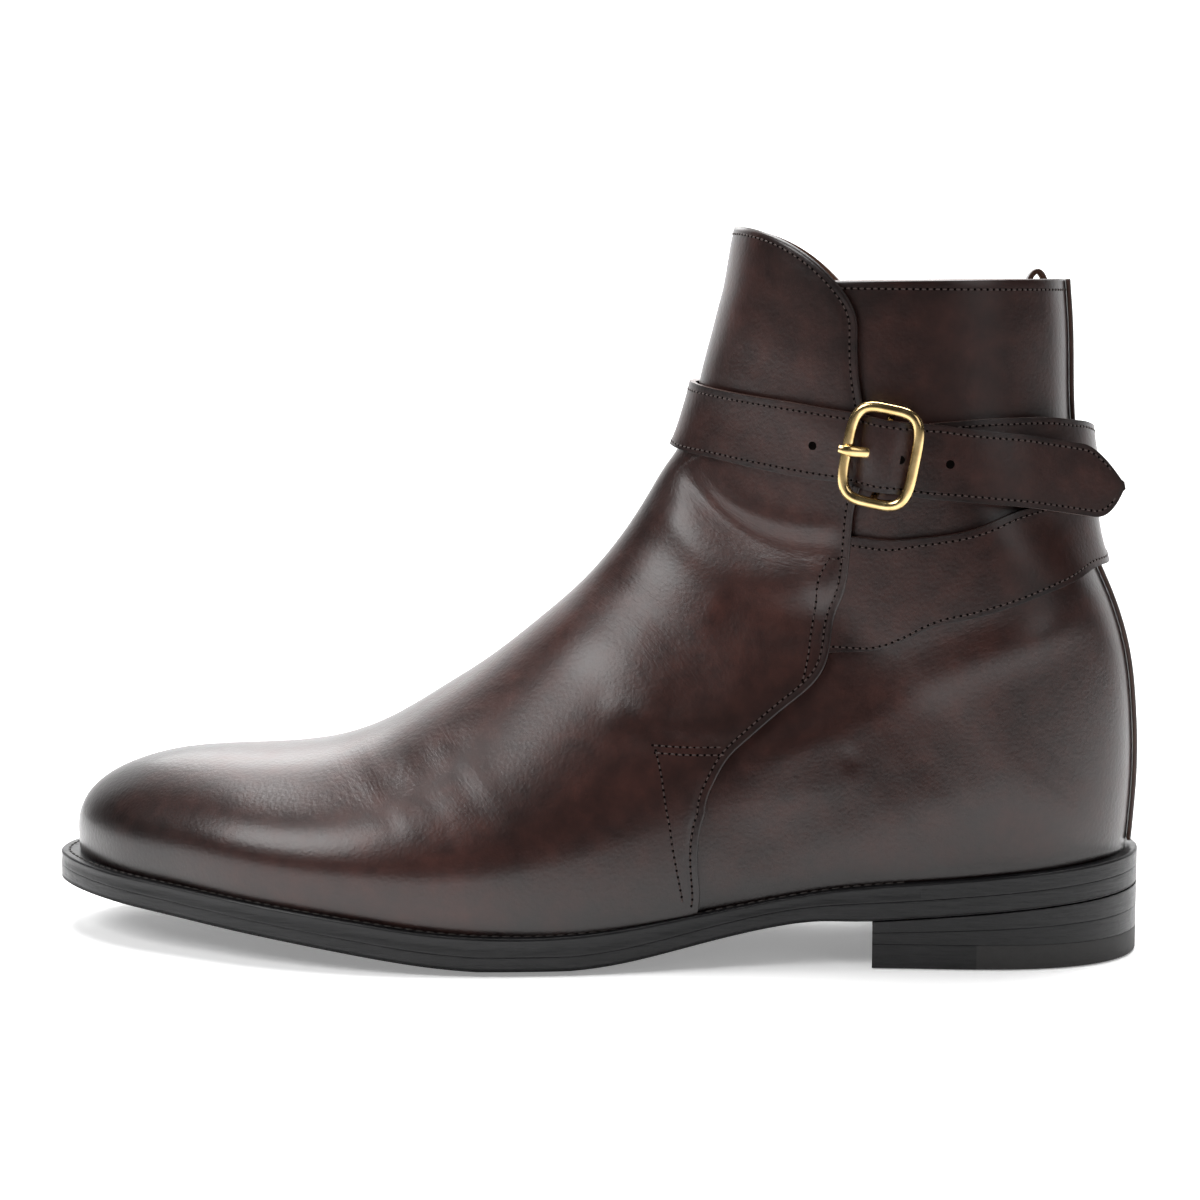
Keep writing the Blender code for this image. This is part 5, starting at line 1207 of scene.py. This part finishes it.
strapStitches = []
for grid, normal in ((longGrid, longNormal), (buckleGrid, buckleNormal)):
    half = 0.5 * np.linalg.norm(grid[:, -1] - grid[:, 0], axis=-1)
    for side in (-1, 1):
        at = side * np.maximum(1 - strapSizes["stitchInset"] / half, 0.0)
        line = np.array([[np.interp(a, strapAcross, grid[i, :, k]) for k in range(3)]
                         for i, a in enumerate(at)])
        out = np.array([[np.interp(a, strapAcross, normal[i, :, k]) for k in range(3)]
                        for i, a in enumerate(at)])
        wide = half > strapSizes["stitchFrom"]  # the narrow end of the tail has none
        strapStitches.append((line[wide][1:], unit(out[wide][1:])))
stitchRows("strapStitching", strapStitches, brownThread, stitchSizes)
# near-black ellipsoids of painted shade for the needle holes
stitchRows("strapNeedleHoleShade", strapStitches, holeShade, needleShadeSizes)

weltStitchSizes = dict(pitch=0.0029, length=0.0023, wide=0.0008, deep=0.0006, over=0.00005, phase=0.5,
                       inset=0.0024, endGap=0.004)
weltStitchEnd = randWay - weltStitchSizes["endGap"]
weltSpot = outlineAt(np.linspace(-weltStitchEnd, weltStitchEnd, 600), weltStitchSizes["inset"])
weltLine = np.concatenate([weltSpot, weltZ(weltSpot[:, 0])[:, None] + weltStitchSizes["over"]], -1)
weltOut = np.zeros_like(weltLine) + np.array([0.0, 0.0, 1.0])
stitchRows("weltStitching", [(weltLine, weltOut)], weltThread, weltStitchSizes)
print("stitches ready")

# Floor, backdrop, lights and camera
stageSizes = dict(floorGlow=0.26, backGlow=1.0, floorShade=-0.47, airGlow=0.045, level=-0.0002,
                  halfWide=4, near=-2.5, far=2.2, high=4)


def paper(name, base, glow, shade):  # shade: where the paper turns dark, out of the frame
    bench = Bench(name, 0.9)
    bench.shader.inputs["Specular IOR Level"].default_value = 0.1
    where = bench.node("ShaderNodeTexCoord", {}, {}, "Object")
    depth = bench.node("ShaderNodeSeparateXYZ", {}, {"Vector": where}, "Y")
    lit = ((depth - shade) * 4.5).held()
    bench.feed("Base Color", bench.mix(lit, (0.2, 0.2, 0.2), (base, base, base)))
    bench.feed("Emission Color", bench.mix(lit, (0.0, 0.0, 0.0), (1.0, 1.0, 1.0)))
    bench.shader.inputs["Emission Strength"].default_value = glow
    return bench.paint


def sheet(name, corners, paint):
    work = bmesh.new()
    bmesh.ops.create_grid(work, x_segments=1, y_segments=1, size=1)
    for vert, corner in zip(work.verts, corners):
        vert.co = corner
    mesh = bpy.data.meshes.new(name)
    work.to_mesh(mesh)
    work.free()
    mesh.materials.append(paint)
    made = bpy.data.objects.new(name, mesh)
    bpy.context.scene.collection.objects.link(made)


def leftRight(y, z):  # two corners of a sheet
    return [(-stageSizes["halfWide"], y, z), (stageSizes["halfWide"], y, z)]


floorFront = leftRight(stageSizes["near"], stageSizes["level"])
floorBack = leftRight(stageSizes["far"], stageSizes["level"])
sheet("studioFloor", floorFront + floorBack,
      paper("white floor", 0.9, stageSizes["floorGlow"], stageSizes["floorShade"]))
sheet("studioBackdrop", floorBack + leftRight(stageSizes["far"], stageSizes["high"]),
      paper("white backdrop", 0.8, stageSizes["backGlow"], stageSizes["floorShade"]))


def softbox(name, place, target, size, power):
    lamp = bpy.data.lights.new(name, "AREA")
    lamp.shape, lamp.size, lamp.size_y = "RECTANGLE", size[0], size[1]
    lamp.energy = power
    made = bpy.data.objects.new(name, lamp)
    made.location = place
    made.rotation_euler = (Vector(target) - Vector(place)).to_track_quat("-Z", "Y").to_euler()
    bpy.context.scene.collection.objects.link(made)


softbox("key softbox", (-0.95, -0.75, 1.05), (-0.12, 0, 0.06), (0.7, 0.7), 14)
softbox("rim softbox", (-0.3, 1.2, 0.8), (-0.1, 0, 0.1), (1.2, 0.4), 7)
softbox("fill softbox", (0.9, -1.0, 0.7), (-0.05, 0, 0.08), (0.5, 0.9), 3)
softbox("top softbox", (-0.1, 0.4, 1.6), (-0.1, 0.05, 0), (1.3, 0.9), 54)
world = bpy.data.worlds.new("studio air")
world.use_nodes = True
world.node_tree.nodes["Background"].inputs["Color"].default_value = (1, 1, 1, 1)
world.node_tree.nodes["Background"].inputs["Strength"].default_value = stageSizes["airGlow"]
bpy.context.scene.world = world
bpy.context.scene.view_settings.view_transform = "Standard"

cameraSizes = dict(sensor=36.0, focalShare=2718 / 1200, place=(-0.0356, -0.7558, 0.187),
                   target=(-0.115, 0.0, 0.095))  # focal length as a share of the frame's width
camera = bpy.data.cameras.new("camera")
camera.sensor_width = cameraSizes["sensor"]
camera.lens = cameraSizes["sensor"] * cameraSizes["focalShare"]
camera.clip_start, camera.clip_end = 0.02, 30.0
view = bpy.data.objects.new("camera", camera)
view.location = cameraSizes["place"]
sight = Vector(cameraSizes["target"]) - view.location
view.rotation_euler = sight.to_track_quat("-Z", "Y").to_euler()
bpy.context.scene.collection.objects.link(view)
bpy.context.scene.camera = view

print("scene ready")
